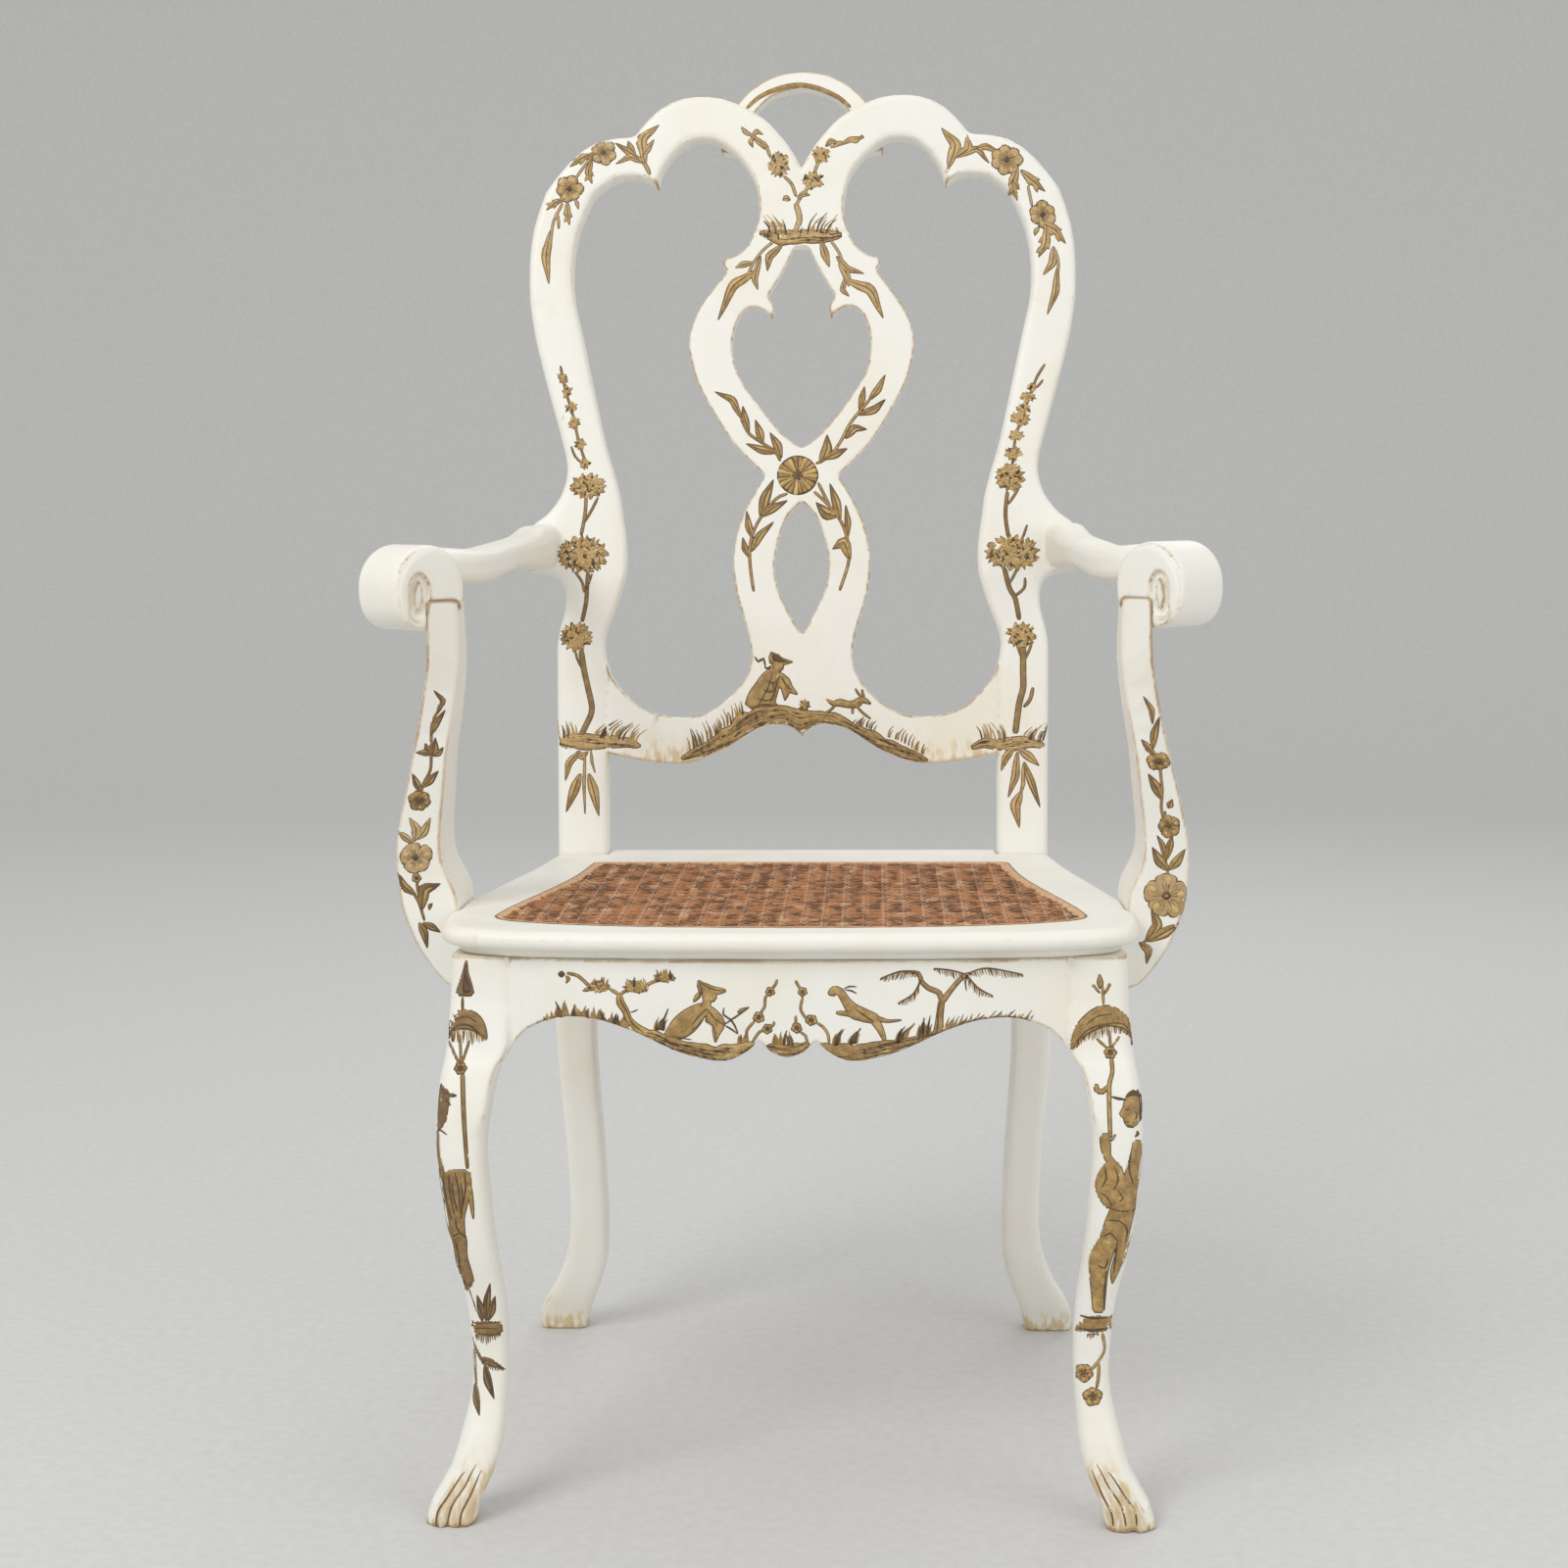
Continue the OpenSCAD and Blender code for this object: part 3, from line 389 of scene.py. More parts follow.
FINISHES = {
    "paint": paint_finish,
    "gilt": main_gilt,
    "light": light_gilt,
    "line": line_finish,
    "cane": cane_finish,
    "strip": strip_finish,
    "bare": bare_finish,
    "steel": steel_finish,
}
MADE = {}


def finish_named(name):
    """A finish, made once."""
    if name not in MADE:
        MADE[name] = FINISHES[name]()
    return MADE[name]


# ---------------------------------------------------------------- woodwork


MOST_TRIANGLES = 190000  # in one piece of woodwork
ARRIS_BEND, HOLLOW_BEND = 150, 90  # bends at which paint is fully rubbed or yellowed, in 1/m
SPREAD = 3  # how many points far the wear reaches
FURROW_REACH, FURROW_DARK_REACH = 0.0032, 0.0022  # half widths of a furrow and of the darkening along it, dirt and painted shade, in metres


def piece_from(name, bm, finishes):
    """A new piece of the chair, from a bmesh that is then freed."""
    mesh = bpy.data.meshes.new(name)
    bm.to_mesh(mesh)
    bm.free()
    piece = bpy.data.objects.new(name, mesh)
    bpy.context.scene.collection.objects.link(piece)
    for key in finishes:
        mesh.materials.append(finish_named(key))
    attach(piece, BODY)
    return piece


def shape_of(*nodes):
    """The shapes of some nodes in one bmesh, with their loose triangles joined."""
    bm = bmesh.new()
    for node in nodes:
        bm.from_mesh(frame["nodes"][node].data)
    bmesh.ops.remove_doubles(bm, verts=bm.verts, dist=0.00001)
    for f in bm.faces:
        f.material_index = 0
    return bm


def settle(piece):
    """Puts what the modifiers make into the piece's own mesh."""
    graph = bpy.context.evaluated_depsgraph_get()
    mesh = bpy.data.meshes.new_from_object(piece.evaluated_get(graph))
    piece.modifiers.clear()
    old, piece.data = piece.data, mesh
    mesh.name = piece.name
    bpy.data.meshes.remove(old)


def round_off(piece, grid, passes):
    """Turns the copied solids into one smooth skin, as layers of paint do."""
    m = piece.modifiers.new("skin", "REMESH")
    m.mode, m.voxel_size, m.use_smooth_shade = "VOXEL", grid, True
    m = piece.modifiers.new("rub", "SMOOTH")
    m.factor, m.iterations = 0.5, passes
    settle(piece)


def thin_out(piece):
    piece.data.calc_loop_triangles()
    share = MOST_TRIANGLES / len(piece.data.loop_triangles)
    if share < 1:
        piece.modifiers.new("thin", "DECIMATE").ratio = share
        settle(piece)


def rows(mesh, name):
    """Places or normals of all points, one to a row."""
    values = np.empty(len(mesh.vertices) * 3)
    mesh.vertices.foreach_get(name, values)
    return values.reshape(-1, 3)


def store(mesh, name, values):
    """Gives each point of the mesh a value that its finish can use."""
    layer = mesh.attributes.new(name, "FLOAT", "POINT")
    layer.data.foreach_set("value", np.asarray(values, np.float32))


def rubbed_edges(piece):
    """Stores how far each point lies on an edge or in a hollow."""
    mesh = piece.data
    count = len(mesh.vertices)
    co, normal = rows(mesh, "co"), rows(mesh, "normal")
    ends = np.empty(len(mesh.edges) * 2, int)
    mesh.edges.foreach_get("vertices", ends)
    a, b = ends.reshape(-1, 2).T
    step = co[b] - co[a]
    size = np.maximum(np.linalg.norm(step, axis=1), 1e-6)
    links = np.maximum(np.bincount(a, minlength=count) + np.bincount(b, minlength=count), 1)
    bend = np.zeros(count)
    bend += np.bincount(a, -(normal[a] * step).sum(1) / size**2, count)
    bend += np.bincount(b, (normal[b] * step).sum(1) / size**2, count)
    bend /= links
    for _ in range(SPREAD):
        total = np.bincount(a, bend[b], count) + np.bincount(b, bend[a], count)
        bend = 0.5 * bend + 0.5 * total / links
    store(mesh, "edge", np.clip(bend / ARRIS_BEND, 0, 1))
    store(mesh, "hollow", np.clip(-bend / HOLLOW_BEND, 0, 1))


def nearness(piece, path):
    """Distance of each point of the piece to a path, and the path's depth there."""
    co = rows(piece.data, "co")
    near, deep = np.full(len(co), 1e9), np.zeros(len(co))
    for (p, dp), (q, dq) in zip(path[:-1], path[1:]):
        p, q = np.array(p), np.array(q)
        step = q - p
        t = np.clip(((co - p) @ step) / max(step @ step, 1e-12), 0, 1)
        gap = np.linalg.norm(co - p - t[:, None] * step, axis=1)
        closer = gap < near
        near[closer] = gap[closer]
        deep[closer] = (dp + (dq - dp) * t)[closer]
    return co, near, deep


def furrow(piece, path):
    """Sinks a groove into the piece along a path of points on its surface."""
    co, near, deep = nearness(piece, path)
    sink = sizes().groove * deep * np.clip(1 - (near / FURROW_REACH) ** 2, 0, 1) ** 1.5
    co -= rows(piece.data, "normal") * sink[:, None]
    piece.data.vertices.foreach_set("co", co.ravel())
    piece.data.update()


def furrow_darkening(piece, paths):
    """Stores how much each point is darkened along the furrows, by dirt and painted shade in the
    grooves.
    """
    furrow_dark = np.zeros(len(piece.data.vertices))
    for path in paths:
        _, near, deep = nearness(piece, path)
        furrow_dark = np.maximum(furrow_dark, deep * np.clip(1.2 - near / FURROW_DARK_REACH, 0, 1))
    store(piece.data, "furrow_darkening", furrow_dark)


def woodwork(name, nodes, grid, passes, furrows=None, soiled=None):
    """A painted wooden piece that stands for some nodes of the frame.

    furrows takes the piece and gives the paths of its grooves. soiled takes a
    point and gives how worn and darkened it is there, from 0 to 1.
    """
    piece = piece_from(name, shape_of(*nodes), ["paint"])
    round_off(piece, grid, passes)
    paths = furrows(piece) if furrows else []
    for path in paths:
        furrow(piece, path)
    thin_out(piece)
    piece.data.shade_smooth()
    rubbed_edges(piece)
    # darkening along the furrows: dirt and painted shade
    if paths:
        furrow_darkening(piece, paths)
    if soiled:
        store(piece.data, "soiled", [soiled(v.co) for v in piece.data.vertices])
    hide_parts(*nodes)


# ---------------------------------------------------------------- brushwork


def smooth_path(points, step):
    """Points of a soft curve through the given points, about step apart."""
    ends = [points[0]] + list(points) + [points[-1]]
    path = []
    for p0, p1, p2, p3 in zip(ends, ends[1:], ends[2:], ends[3:]):
        parts = max(2, round(math.dist(p1[:2], p2[:2]) / step))
        for k in range(parts):
            t = k / parts
            path.append([
                0.5 * (2 * b + (c - a) * t + (2 * a - 5 * b + 4 * c - d) * t * t
                       + (3 * b - a - 3 * c + d) * t**3)
                for a, b, c, d in zip(p0, p1, p2, p3)
            ])
    path.append(list(points[-1]))
    return path


class Ground:
    """The painted surface, as the eye meets it at pixels of the picture."""

    GRAZING = 0.12  # a flatter line of sight than this misses the surface

    def __init__(self, *pieces):
        bm = bmesh.new()
        for piece in pieces:
            bm.from_mesh(piece.data)
        self.tree = BVHTree.FromBMesh(bm)
        bm.free()
        self.far = 2.0  # metres from the eye, until a line of sight has met the surface

    def touch(self, x, y):
        """Place and normal of the surface at a pixel."""
        start, aim = sight(x, y)
        place, normal, _, far = self.tree.ray_cast(start, aim)
        if place is None or normal.dot(aim) > -self.GRAZING:
            place, normal, _, _ = self.tree.find_nearest(start + aim * self.far)
        else:
            self.far = far
        return place, normal

    def path(self, points):
        """Places on the surface along a run of pixels (x, y, depth)."""
        return [(self.touch(x, y)[0], deep) for x, y, deep in smooth_path(points, 4.0)]


class Brush:
    """Lays thin raised strokes on painted pieces, at pixels of the picture."""

    # height as a share of the relief, and place of the finish in PAINTS
    LAYERS = {"line": (0.30, 2), "gilt": (0.65, 0), "light": (1.0, 1), "vein": (1.0, 2)}
    PAINTS = ["gilt", "light", "line"]
    CELL = 3.2  # widest cell of a stroke, in pixels
    THINNEST = 0.35  # least half width of a stroke, in pixels
    TAPER = 0.6  # width at both ends, as a share
    ROUNDING = 0.22  # how much lower a stroke is at its sides, as a share of the relief
    SINK = 0.0003  # how deep it reaches into the paint, in metres
    VEINED = 4.6  # width from which a leaf has a vein and a light side, in pixels

    def __init__(self, *names, seed):
        self.ground = Ground(*(bpy.data.objects[n] for n in names))
        self.bm = bmesh.new()
        self.under = self.bm.verts.layers.float_vector.new("under")
        self.tone = self.bm.verts.layers.float.new("tone")
        self.chance = random.Random(seed)
        self.relief = sizes().relief
        self.blade = 1.0  # thickness of the blades of grass
        self.tint()

    def tint(self, low=0.0, high=0.35):
        """Range of darkness for the next strokes, from -1, palest, to 1, umber."""
        self.shade = low, high

    def stroke(self, points, layer="gilt", extra=0.0, cells=2, step=4.0, fade=0.0):
        """A stroke through points (x, y, width), in pixels.

        extra is added to both sides, cells is the least count across, and the
        stroke darkens by fade towards its end.
        """
        path = smooth_path(points, step)
        last = len(path) - 1
        cells = max(cells, round(max(w for _, _, w in path) / self.CELL))
        grid = bmesh.ops.create_grid(
            self.bm, x_segments=last, y_segments=cells, size=0.5
        )["verts"]
        level, slot = self.LAYERS[layer]
        tone = self.chance.uniform(*self.shade)
        for v in grid:
            i = round((v.co.x + 0.5) * last)
            side = 2 * v.co.y
            x, y, width = path[i]
            x0, y0, _ = path[max(i - 1, 0)]
            x1, y1, _ = path[min(i + 1, last)]
            run = math.hypot(x1 - x0, y1 - y0) or 1.0
            dx, dy = (x1 - x0) / run, (y1 - y0) / run
            half = max(width / 2 + extra, self.THINNEST)
            if i in (0, last):
                reach = extra if i == last else -extra
                x, y, half = x + dx * reach, y + dy * reach, half * self.TAPER
            place, normal = self.ground.touch(x - dy * half * side, y + dx * half * side)
            height = self.relief * (level - self.ROUNDING * abs(side))
            v.co = place + normal * height
            v[self.under] = -normal * (height + self.SINK)
            v[self.tone] = tone + fade * (i / last) ** 2
        for f in {f for v in grid for f in v.link_faces}:
            f.material_index = slot

    def lined(self, points, extra=0.9, cells=2, step=4.0, fade=0.0):
        """A gilt stroke with an umber outline."""
        self.stroke(points, "line", extra, cells, step)
        self.stroke(points, "gilt", 0, cells, step, fade)

    def forms(self, *runs, extra=0.9, cells=2, step=4.0):
        """Gilt strokes with umber outlines, that make up one motif."""
        for run in runs:
            self.lined(run, extra, cells, step)

    def stems(self, *runs, width=2.0):
        """Thin outlined strokes of even width."""
        for run in runs:
            self.lined([(x, y, width) for x, y in run], 0.6, 1)

    def dark(self, *runs, width=1.4):
        """Thin umber lines, over the gilding too."""
        for run in runs:
            last = len(run) - 1
            self.stroke([(x, y, width if 0 < i < last else 0.6 * width)
                         for i, (x, y) in enumerate(run)], "vein", 0, 1)

    def leaf(self, bx, by, mx, my, tx, ty, width, edge=0.65):
        """A leaf from its base through its middle to its tip, with a vein and a light side."""
        width *= 0.82
        self.lined([
            (bx, by, 0.3 * width),
            (0.45 * bx + 0.55 * mx, 0.45 * by + 0.55 * my, 0.85 * width),
            (mx, my, width),
            (0.4 * mx + 0.6 * tx, 0.4 * my + 0.6 * ty, 0.5 * width),
            (tx, ty, 0.4),
        ], edge, 2, 3.5, 0.8)
        if width > self.VEINED:
            run = math.hypot(tx - bx, ty - by) or 1.0
            ox, oy = -(ty - by) / run * 0.2 * width, (tx - bx) / run * 0.2 * width
            ex, ey = mx + 0.6 * (tx - mx), my + 0.6 * (ty - my)
            self.stroke([(bx, by, 0.7), (mx, my, 1.0), (ex, ey, 0.5)], "vein", 0, 1, 5.0)
            self.stroke([(0.6 * bx + 0.4 * mx + ox, 0.6 * by + 0.4 * my + oy, 0.4),
                         (mx + ox, my + oy, 0.28 * width),
                         (0.5 * (mx + tx) + 0.5 * ox, 0.5 * (my + ty) + 0.5 * oy, 0.4)],
                        "light", 0, 1, 5.0)

    def leaves(self, *rows):
        """Leaves from rows of base, middle, tip and width."""
        for row in rows:
            self.leaf(*row)

    def acanthus(self, *rows):
        """Leaves with lobes on both sides."""
        for bx, by, mx, my, tx, ty, width in rows:
            run = math.hypot(tx - bx, ty - by)
            for share, side in ((0.3, 1), (0.42, -1), (0.62, 1)):
                # the lobe starts on the bent midrib, at this share of its length
                a, b, c = (1 - share) ** 2, 2 * share * (1 - share), share**2
                px = a * bx + b * (1.5 * mx - 0.25 * (bx + tx)) + c * tx
                py = a * by + b * (1.5 * my - 0.25 * (by + ty)) + c * ty
                turn = math.atan2(ty - by, tx - bx) + side * 0.62
                ox, oy = 0.3 * run * math.cos(turn), 0.3 * run * math.sin(turn)
                self.leaf(px, py, px + 0.55 * ox, py + 0.55 * oy, px + ox, py + oy,
                          0.55 * width, 0.5)
            self.leaf(bx, by, mx, my, tx, ty, width)

    def flower(self, x, y, size, petals=6, turn=0.0, flat=1.0):
        """A round blossom of notched petals with a dark eye."""
        for k in range(petals):
            a = turn + math.tau * (k + self.chance.uniform(-0.12, 0.12)) / petals
            long = size * self.chance.uniform(0.9, 1.08)
            wide = 4.9 * size / petals

            def outwards(lean, widths, times=1):
                c, s = math.cos(a + lean), math.sin(a + lean) * flat
                return [(x + c * long * r, y + s * long * r, w * times) for r, w in widths]

            petal = ((0.15, 0.4), (0.55, 0.9), (0.82, 0.96), (0.97, 0.66), (1.02, 0.3))
            self.lined(outwards(0, petal, wide), 1.2, 2, 3.0)
            for lean in (-0.3, 0.0, 0.28):
                self.stroke(outwards(lean, ((0.25, 0.9), (0.62, 0.3))), "vein", 0, 1, 6.0)
            glint = ((0.5, 0.1), (0.75, 0.34), (0.9, 0.1))
            self.stroke(outwards(0.16, glint, wide), "light", 0, 1, 4.0)
        self.dot(x, y, 0.22 * size, "vein")
        self.dot(x, y, 0.1 * size, "light")

    def rosette(self, x, y, size, rays=22, flat=0.92):
        """A round blossom of many narrow petals on an umber disc."""
        self.stroke([(x - size * math.cos(a), y, 2.04 * size * flat * math.sin(a))
                     for a in (0.2, 0.45, 0.8, 1.2, 1.57, 1.94, 2.34, 2.69, 2.94)],
                    "line", 1.0, 8, 2.0)
        for k in range(rays):
            a = math.tau * (k + self.chance.uniform(-0.15, 0.15)) / rays
            c, s = math.cos(a), math.sin(a) * flat
            out = self.chance.uniform(0.93, 1.03)
            self.stroke([(x + c * size * r * out, y + s * size * r * out, w * size)
                         for r, w in ((0.2, 0.06), (0.6, 0.16), (0.95, 0.24), (1.02, 0.12))],
                        "gilt" if k % 3 else "light", 0, 1, 4.0)
            a += math.pi / rays
            c, s = math.cos(a), math.sin(a) * flat
            self.dark([(x + c * size * r, y + s * size * r) for r in (0.35, 0.7, 0.98)], width=0.9)
        self.dot(x, y, 0.28 * size, "vein")
        for _ in range(9):
            a, r = self.chance.uniform(0, math.tau), self.chance.uniform(0.05, 0.22) * size
            self.dot(x + r * math.cos(a), y + r * math.sin(a), 0.7, "light")

    def dot(self, x, y, size, layer="gilt"):
        self.stroke([(x - size, y, 0.7 * size), (x, y, 2 * size), (x + size, y, 0.7 * size)],
                    layer, 0, 2, max(0.8, size / 2))

    def crown(self, x, y, wide, high, thick=1.0):
        """Crown of a small tree: a ragged clump of leaves with lights and darks in it."""
        chance = self.chance
        for k in range(3):
            oy = (k - 1) * 0.42 * high
            reach = 0.58 * wide if k == 1 else 0.36 * wide
            self.lined([(x - reach, y + oy, 0.4 * high), (x, y + oy, 0.8 * high),
                        (x + reach, y + oy, 0.4 * high)], 0.6, 3, 3.0)
        edge = round(0.62 * (wide + high))
        for k in range(edge):
            a = math.tau * (k + chance.uniform(-0.35, 0.35)) / edge
            c, s = math.cos(a), math.sin(a)
            size = chance.uniform(3.4, 8.2) * thick
            px, py = x + c * (1.06 * wide - size), y + s * (1.06 * high - size)
            b = a + chance.uniform(-0.6, 0.6)
            dx, dy = math.cos(b) * size, math.sin(b) * size
            self.leaf(px - dx * 0.8, py - dy * 0.8, px + dx * 0.1, py + dy * 0.1, px + dx, py + dy,
                      5.4 * thick, 0.35)
        for k in range(round(0.26 * wide * high)):
            a, r = chance.uniform(0, math.tau), math.sqrt(chance.random()) * 0.86
            px, py = x + wide * r * math.cos(a), y + high * r * math.sin(a)
            b, size = chance.uniform(0, math.tau), chance.uniform(1.5, 3.4)
            dx, dy = math.cos(b) * size, math.sin(b) * size
            self.stroke([(px - dx, py - dy, 0.5), (px, py, 2.6), (px + dx, py + dy, 0.5)],
                        "light" if chance.random() < 0.72 else "vein", 0, 1, 4.0)

    def grass(self, base, blades, high, lean=0.0):
        """Blades of grass along a base line of points."""
        path = smooth_path([(*p, 0) for p in base], 2.0)
        for k in range(blades):
            x, y, _ = path[round((k + self.chance.random()) / blades * (len(path) - 1))]
            tall = high * self.chance.uniform(0.55, 1.15)
            sway = lean * tall + self.chance.uniform(-0.25, 0.25) * tall
            layer = "vein" if self.chance.random() < 0.3 else "gilt"
            self.stroke([(x, y + 2, 2.2 * self.blade),
                         (x + 0.3 * sway, y - 0.5 * tall, 1.5 * self.blade),
                         (x + sway, y - tall, 0.3)], layer, 0, 1, 5.0, 0.5)

    def earth(self, path, marks):
        """A strip of earth with dark and light brush marks in it."""
        rough = [(x, y + self.chance.uniform(-0.07, 0.07) * w, w * self.chance.uniform(0.82, 1.1))
                 for x, y, w in smooth_path(path, 7.0)]
        self.lined(rough, 1.0, 4, 4.0)
        line = smooth_path(path, 3.0)
        for _ in range(marks):
            k = self.chance.randrange(1, len(line) - 1)
            share = self.chance.uniform(-0.36, 0.36)
            reach = self.chance.randrange(2, 6)
            run = range(max(k - reach, 0), min(k + reach + 1, len(line)))
            points = [(line[i][0], line[i][1] + share * line[i][2], 0.5) for i in run]
            mid = len(points) // 2
            points[mid] = (*points[mid][:2], self.chance.uniform(1.2, 2.8))
            self.stroke(points, "vein" if self.chance.random() < 0.7 else "light", 0, 1, 4.0)

    def frond(self, points, fall, lean, width=1.6):
        """A palm branch with leaflets that hang from it."""
        self.dark(points, width=width)
        path = smooth_path([(*p, 0) for p in points], 2.2)
        for i, (x, y, _) in enumerate(path):
            swell = 0.35 + 0.65 * math.sin(math.pi * min(1, (i + 2) / len(path)))
            long = fall * swell * self.chance.uniform(0.7, 1.1)
            sway = long * (lean + self.chance.uniform(-0.15, 0.15))
            self.stroke([(x, y, 1.5), (x + 0.4 * sway, y + 0.5 * long, 1.3),
                         (x + sway, y + long, 0.4)], "gilt" if i % 3 else "vein", 0, 1, 5.0)

    def fringe(self, points, fall):
        """Short threads that hang straight down."""
        self.frond(points, fall, 0.0, 1.0)

    def dry(self, name):
        """Closes the strokes and makes them one piece."""
        made = bmesh.ops.extrude_face_region(self.bm, geom=self.bm.faces[:], use_keep_orig=True)
        for v in made["geom"]:
            if isinstance(v, bmesh.types.BMVert):
                v.co += v[self.under]
        bmesh.ops.recalc_face_normals(self.bm, faces=self.bm.faces)
        self.bm.verts.layers.float_vector.remove(self.under)
        piece = piece_from(name, self.bm, self.PAINTS)
        piece.data.shade_smooth()


# ---------------------------------------------------------------- operators


# Grooves of the left scroll and hoof at pixels of the picture, with their depth as a share
SCROLL_GROOVES = (
    ((436, 616, 0), (436, 601, 0.8), (433, 592, 1), (428, 588, 1), (423, 592, 1), (419.5, 602, 1),
     (418.5, 615, 1), (420.5, 627, 1), (425, 635, 0.8), (430, 636, 0.3)),
    ((426, 597, 0), (429, 595, 0.4), (431.5, 602, 0.6), (431.5, 612, 0.7), (429.5, 621, 0.7),
     (425.5, 626, 0.5)),
    ((441, 559, 0), (428, 564, 0.2), (416, 575, 0.3), (409, 587, 0.35), (406, 602, 0.35),
     (408, 618, 0.35), (413, 632, 0.2)),
)
HOOF_GROOVES = (
    ((474, 1502, 0), (470, 1507, 0.5), (457, 1527, 0.9), (447, 1542, 1), (445, 1557, 1)),
    ((486, 1494, 0), (480, 1505, 0.6), (474, 1517, 0.9), (461, 1537, 1), (456, 1557, 1)),
    ((491, 1500, 0), (486, 1512, 0.6), (480, 1526, 0.9), (471, 1544, 1), (469, 1557, 1)),
)


def both_sides(grooves):
    """Grooves given on the left, laid on a piece and mirrored."""
    def paths(piece):
        ground = Ground(piece)
        left = [ground.path(groove) for groove in grooves]
        return left + [[(Vector((-p.x, p.y, p.z)), deep) for p, deep in path] for path in left]
    return paths


def stay_soil(p):
    """Rubbed along the lower edge of the stay rail, and darker towards the floor."""
    above = p.z - STAY_Z
    if above < 0.035 and abs(p.x) < 0.17 and p.y > 0.1:
        return 0.75 * max(0.0, 1 - above / 0.03) ** 0.7
    # darker towards the floor
    return 0.8 * max(0, 1 - p.z / 0.03)


def hoof_soil(p):
    """Rubbed down to ochre between the grooves; brown along the sole, darker towards the floor."""
    front = max(0.0, min(1.0, (TOE_Y + 0.03 - p.y) / 0.01))
    inside = max(0.0, min(1.0, 4.5 - abs(abs(p.x) - 0.259 + 0.5 * p.z) / 0.0038))
    low = max(0.0, min(1.0, 1.7 - p.z / 0.04))
    # browner towards the floor along the sole
    return max(0.62 * front * inside * low, 1.5 - p.z / 0.005)


class ARMCHAIR_OT_back(bpy.types.Operator):
    """Stiles, crest, splat, stay rail and arms, under one skin of paint"""

    bl_idname = "armchair.back"
    bl_label = "Back and arms"

    def execute(self, context):
        nodes = ("rear_post_left", "rear_post_right", "crest_rail", "splat", "stay_rail",
                 "arm_left", "arm_right")
        woodwork("back_and_arms", nodes, sizes().fine_skin, 2,
                 both_sides(SCROLL_GROOVES), stay_soil)
        return {"FINISHED"}


class ARMCHAIR_OT_legs(bpy.types.Operator):
    """Cabriole legs with cloven hooves and the shaped apron, under one skin of paint"""

    bl_idname = "armchair.legs"
    bl_label = "Front legs and apron"

    def execute(self, context):
        nodes = ("front_leg_left", "front_leg_right", "front_apron")
        woodwork("legs_and_apron", nodes, sizes().fine_skin, 2,
                 both_sides(HOOF_GROOVES), hoof_soil)
        return {"FINISHED"}


class ARMCHAIR_OT_rails(bpy.types.Operator):
    """Side and back rails of the seat"""

    bl_idname = "armchair.rails"
    bl_label = "Seat rails"

    def execute(self, context):
        grid = sizes().skin
        woodwork("side_seat_rail_left", ("side_rail_left",), grid, 2)
        woodwork("side_seat_rail_right", ("side_rail_right",), grid, 2)
        woodwork("rear_seat_rail", ("back_seat_rail",), grid, 1)
        return {"FINISHED"}


class ARMCHAIR_OT_rim(bpy.types.Operator):
    """Moulded frame of the seat"""

    bl_idname = "armchair.rim"
    bl_label = "Seat frame"

    def execute(self, context):
        nodes = ("seat_rim_front", "seat_rim_back", "seat_rim_left", "seat_rim_right")
        woodwork("seat_frame", nodes, sizes().skin, 3)
        return {"FINISHED"}


class ARMCHAIR_OT_supports(bpy.types.Operator):
    """Set-back supports of the arms"""

    bl_idname = "armchair.supports"
    bl_label = "Arm supports"

    def execute(self, context):
        grid = sizes().fine_skin
        woodwork("armrest_support_left", ("arm_support_left",), grid, 1)
        woodwork("armrest_support_right", ("arm_support_right",), grid, 1)
        return {"FINISHED"}


class ARMCHAIR_OT_bail(bpy.types.Operator):
    """Small carrying bail over the crest"""

    bl_idname = "armchair.bail"
    bl_label = "Crest bail"

    def execute(self, context):
        woodwork("bail", ("crest_handle",), sizes().finest_skin, 3)
        return {"FINISHED"}


class ARMCHAIR_OT_fixings(bpy.types.Operator):
    """Bare wood and steel of the blocks, dowels and screws"""

    bl_idname = "armchair.fixings"
    bl_label = "Blocks and fixings"
    dress = {
        "bare": ("front_corner_blocks", "rear_corner_blocks", "arm_dowels"),
        "steel": ("rim_screws", "arm_screws", "support_screws", "handle_screws"),
    }

    def execute(self, context):
        for key, names in self.dress.items():
            for name in names:
                materials = frame["nodes"][name].data.materials
                materials.clear()
                materials.append(finish_named(key))
        return {"FINISHED"}


def seat_outline():
    """Outline of the caned opening, from the outer wall of the strip's node."""
    bm = shape_of("cane_binding")
    bm.normal_update()
    points = {}
    for f in bm.faces:
        if abs(f.normal.z) < 0.3 and f.normal.dot(f.calc_center_median()) > 0:
            for v in f.verts:
                points[round(math.atan2(v.co.y, v.co.x), 4)] = (v.co.x, v.co.y)
    bm.free()
    return [Vector((*points[a], 0)) for a in sorted(points)]


def crossing(outline, place, along):
    """Where a line through place enters and leaves a convex outline."""
    low, high = -9.0, 9.0
    for a, b in zip(outline, outline[1:] + outline[:1]):
        out = Vector((b.y - a.y, a.x - b.x, 0))
        slope, gap = along.dot(out), (a - place).dot(out)
        if abs(slope) < 1e-9:
            if gap < 0:
                return 0, 0
        elif slope > 0:
            high = min(high, gap / slope)
        else:
            low = max(low, gap / slope)
    return low, high


CANE_THICK = 0.0012
CANE_INSET = 0.0002  # how far the cane stays below the top of its node
# strands of each pair: side, and height over the level of the cane, in metres
COLUMN_PAIR = ((-1, -0.00055), (1, 0.00035))
ROW_PAIR = ((-1, -0.0001), (1, 0.0002))
ROW_WAVE = 0.0004
DIAGONAL_LIFT, DIAGONAL_WAVE = 0.0003, 0.00045
PAIR_SHARE = 0.62  # distance of a strand from the middle of its pair, in widths
STRAY, LIFT_STRAY = 0.0002, 0.00006  # how uneven the strands lie, in metres
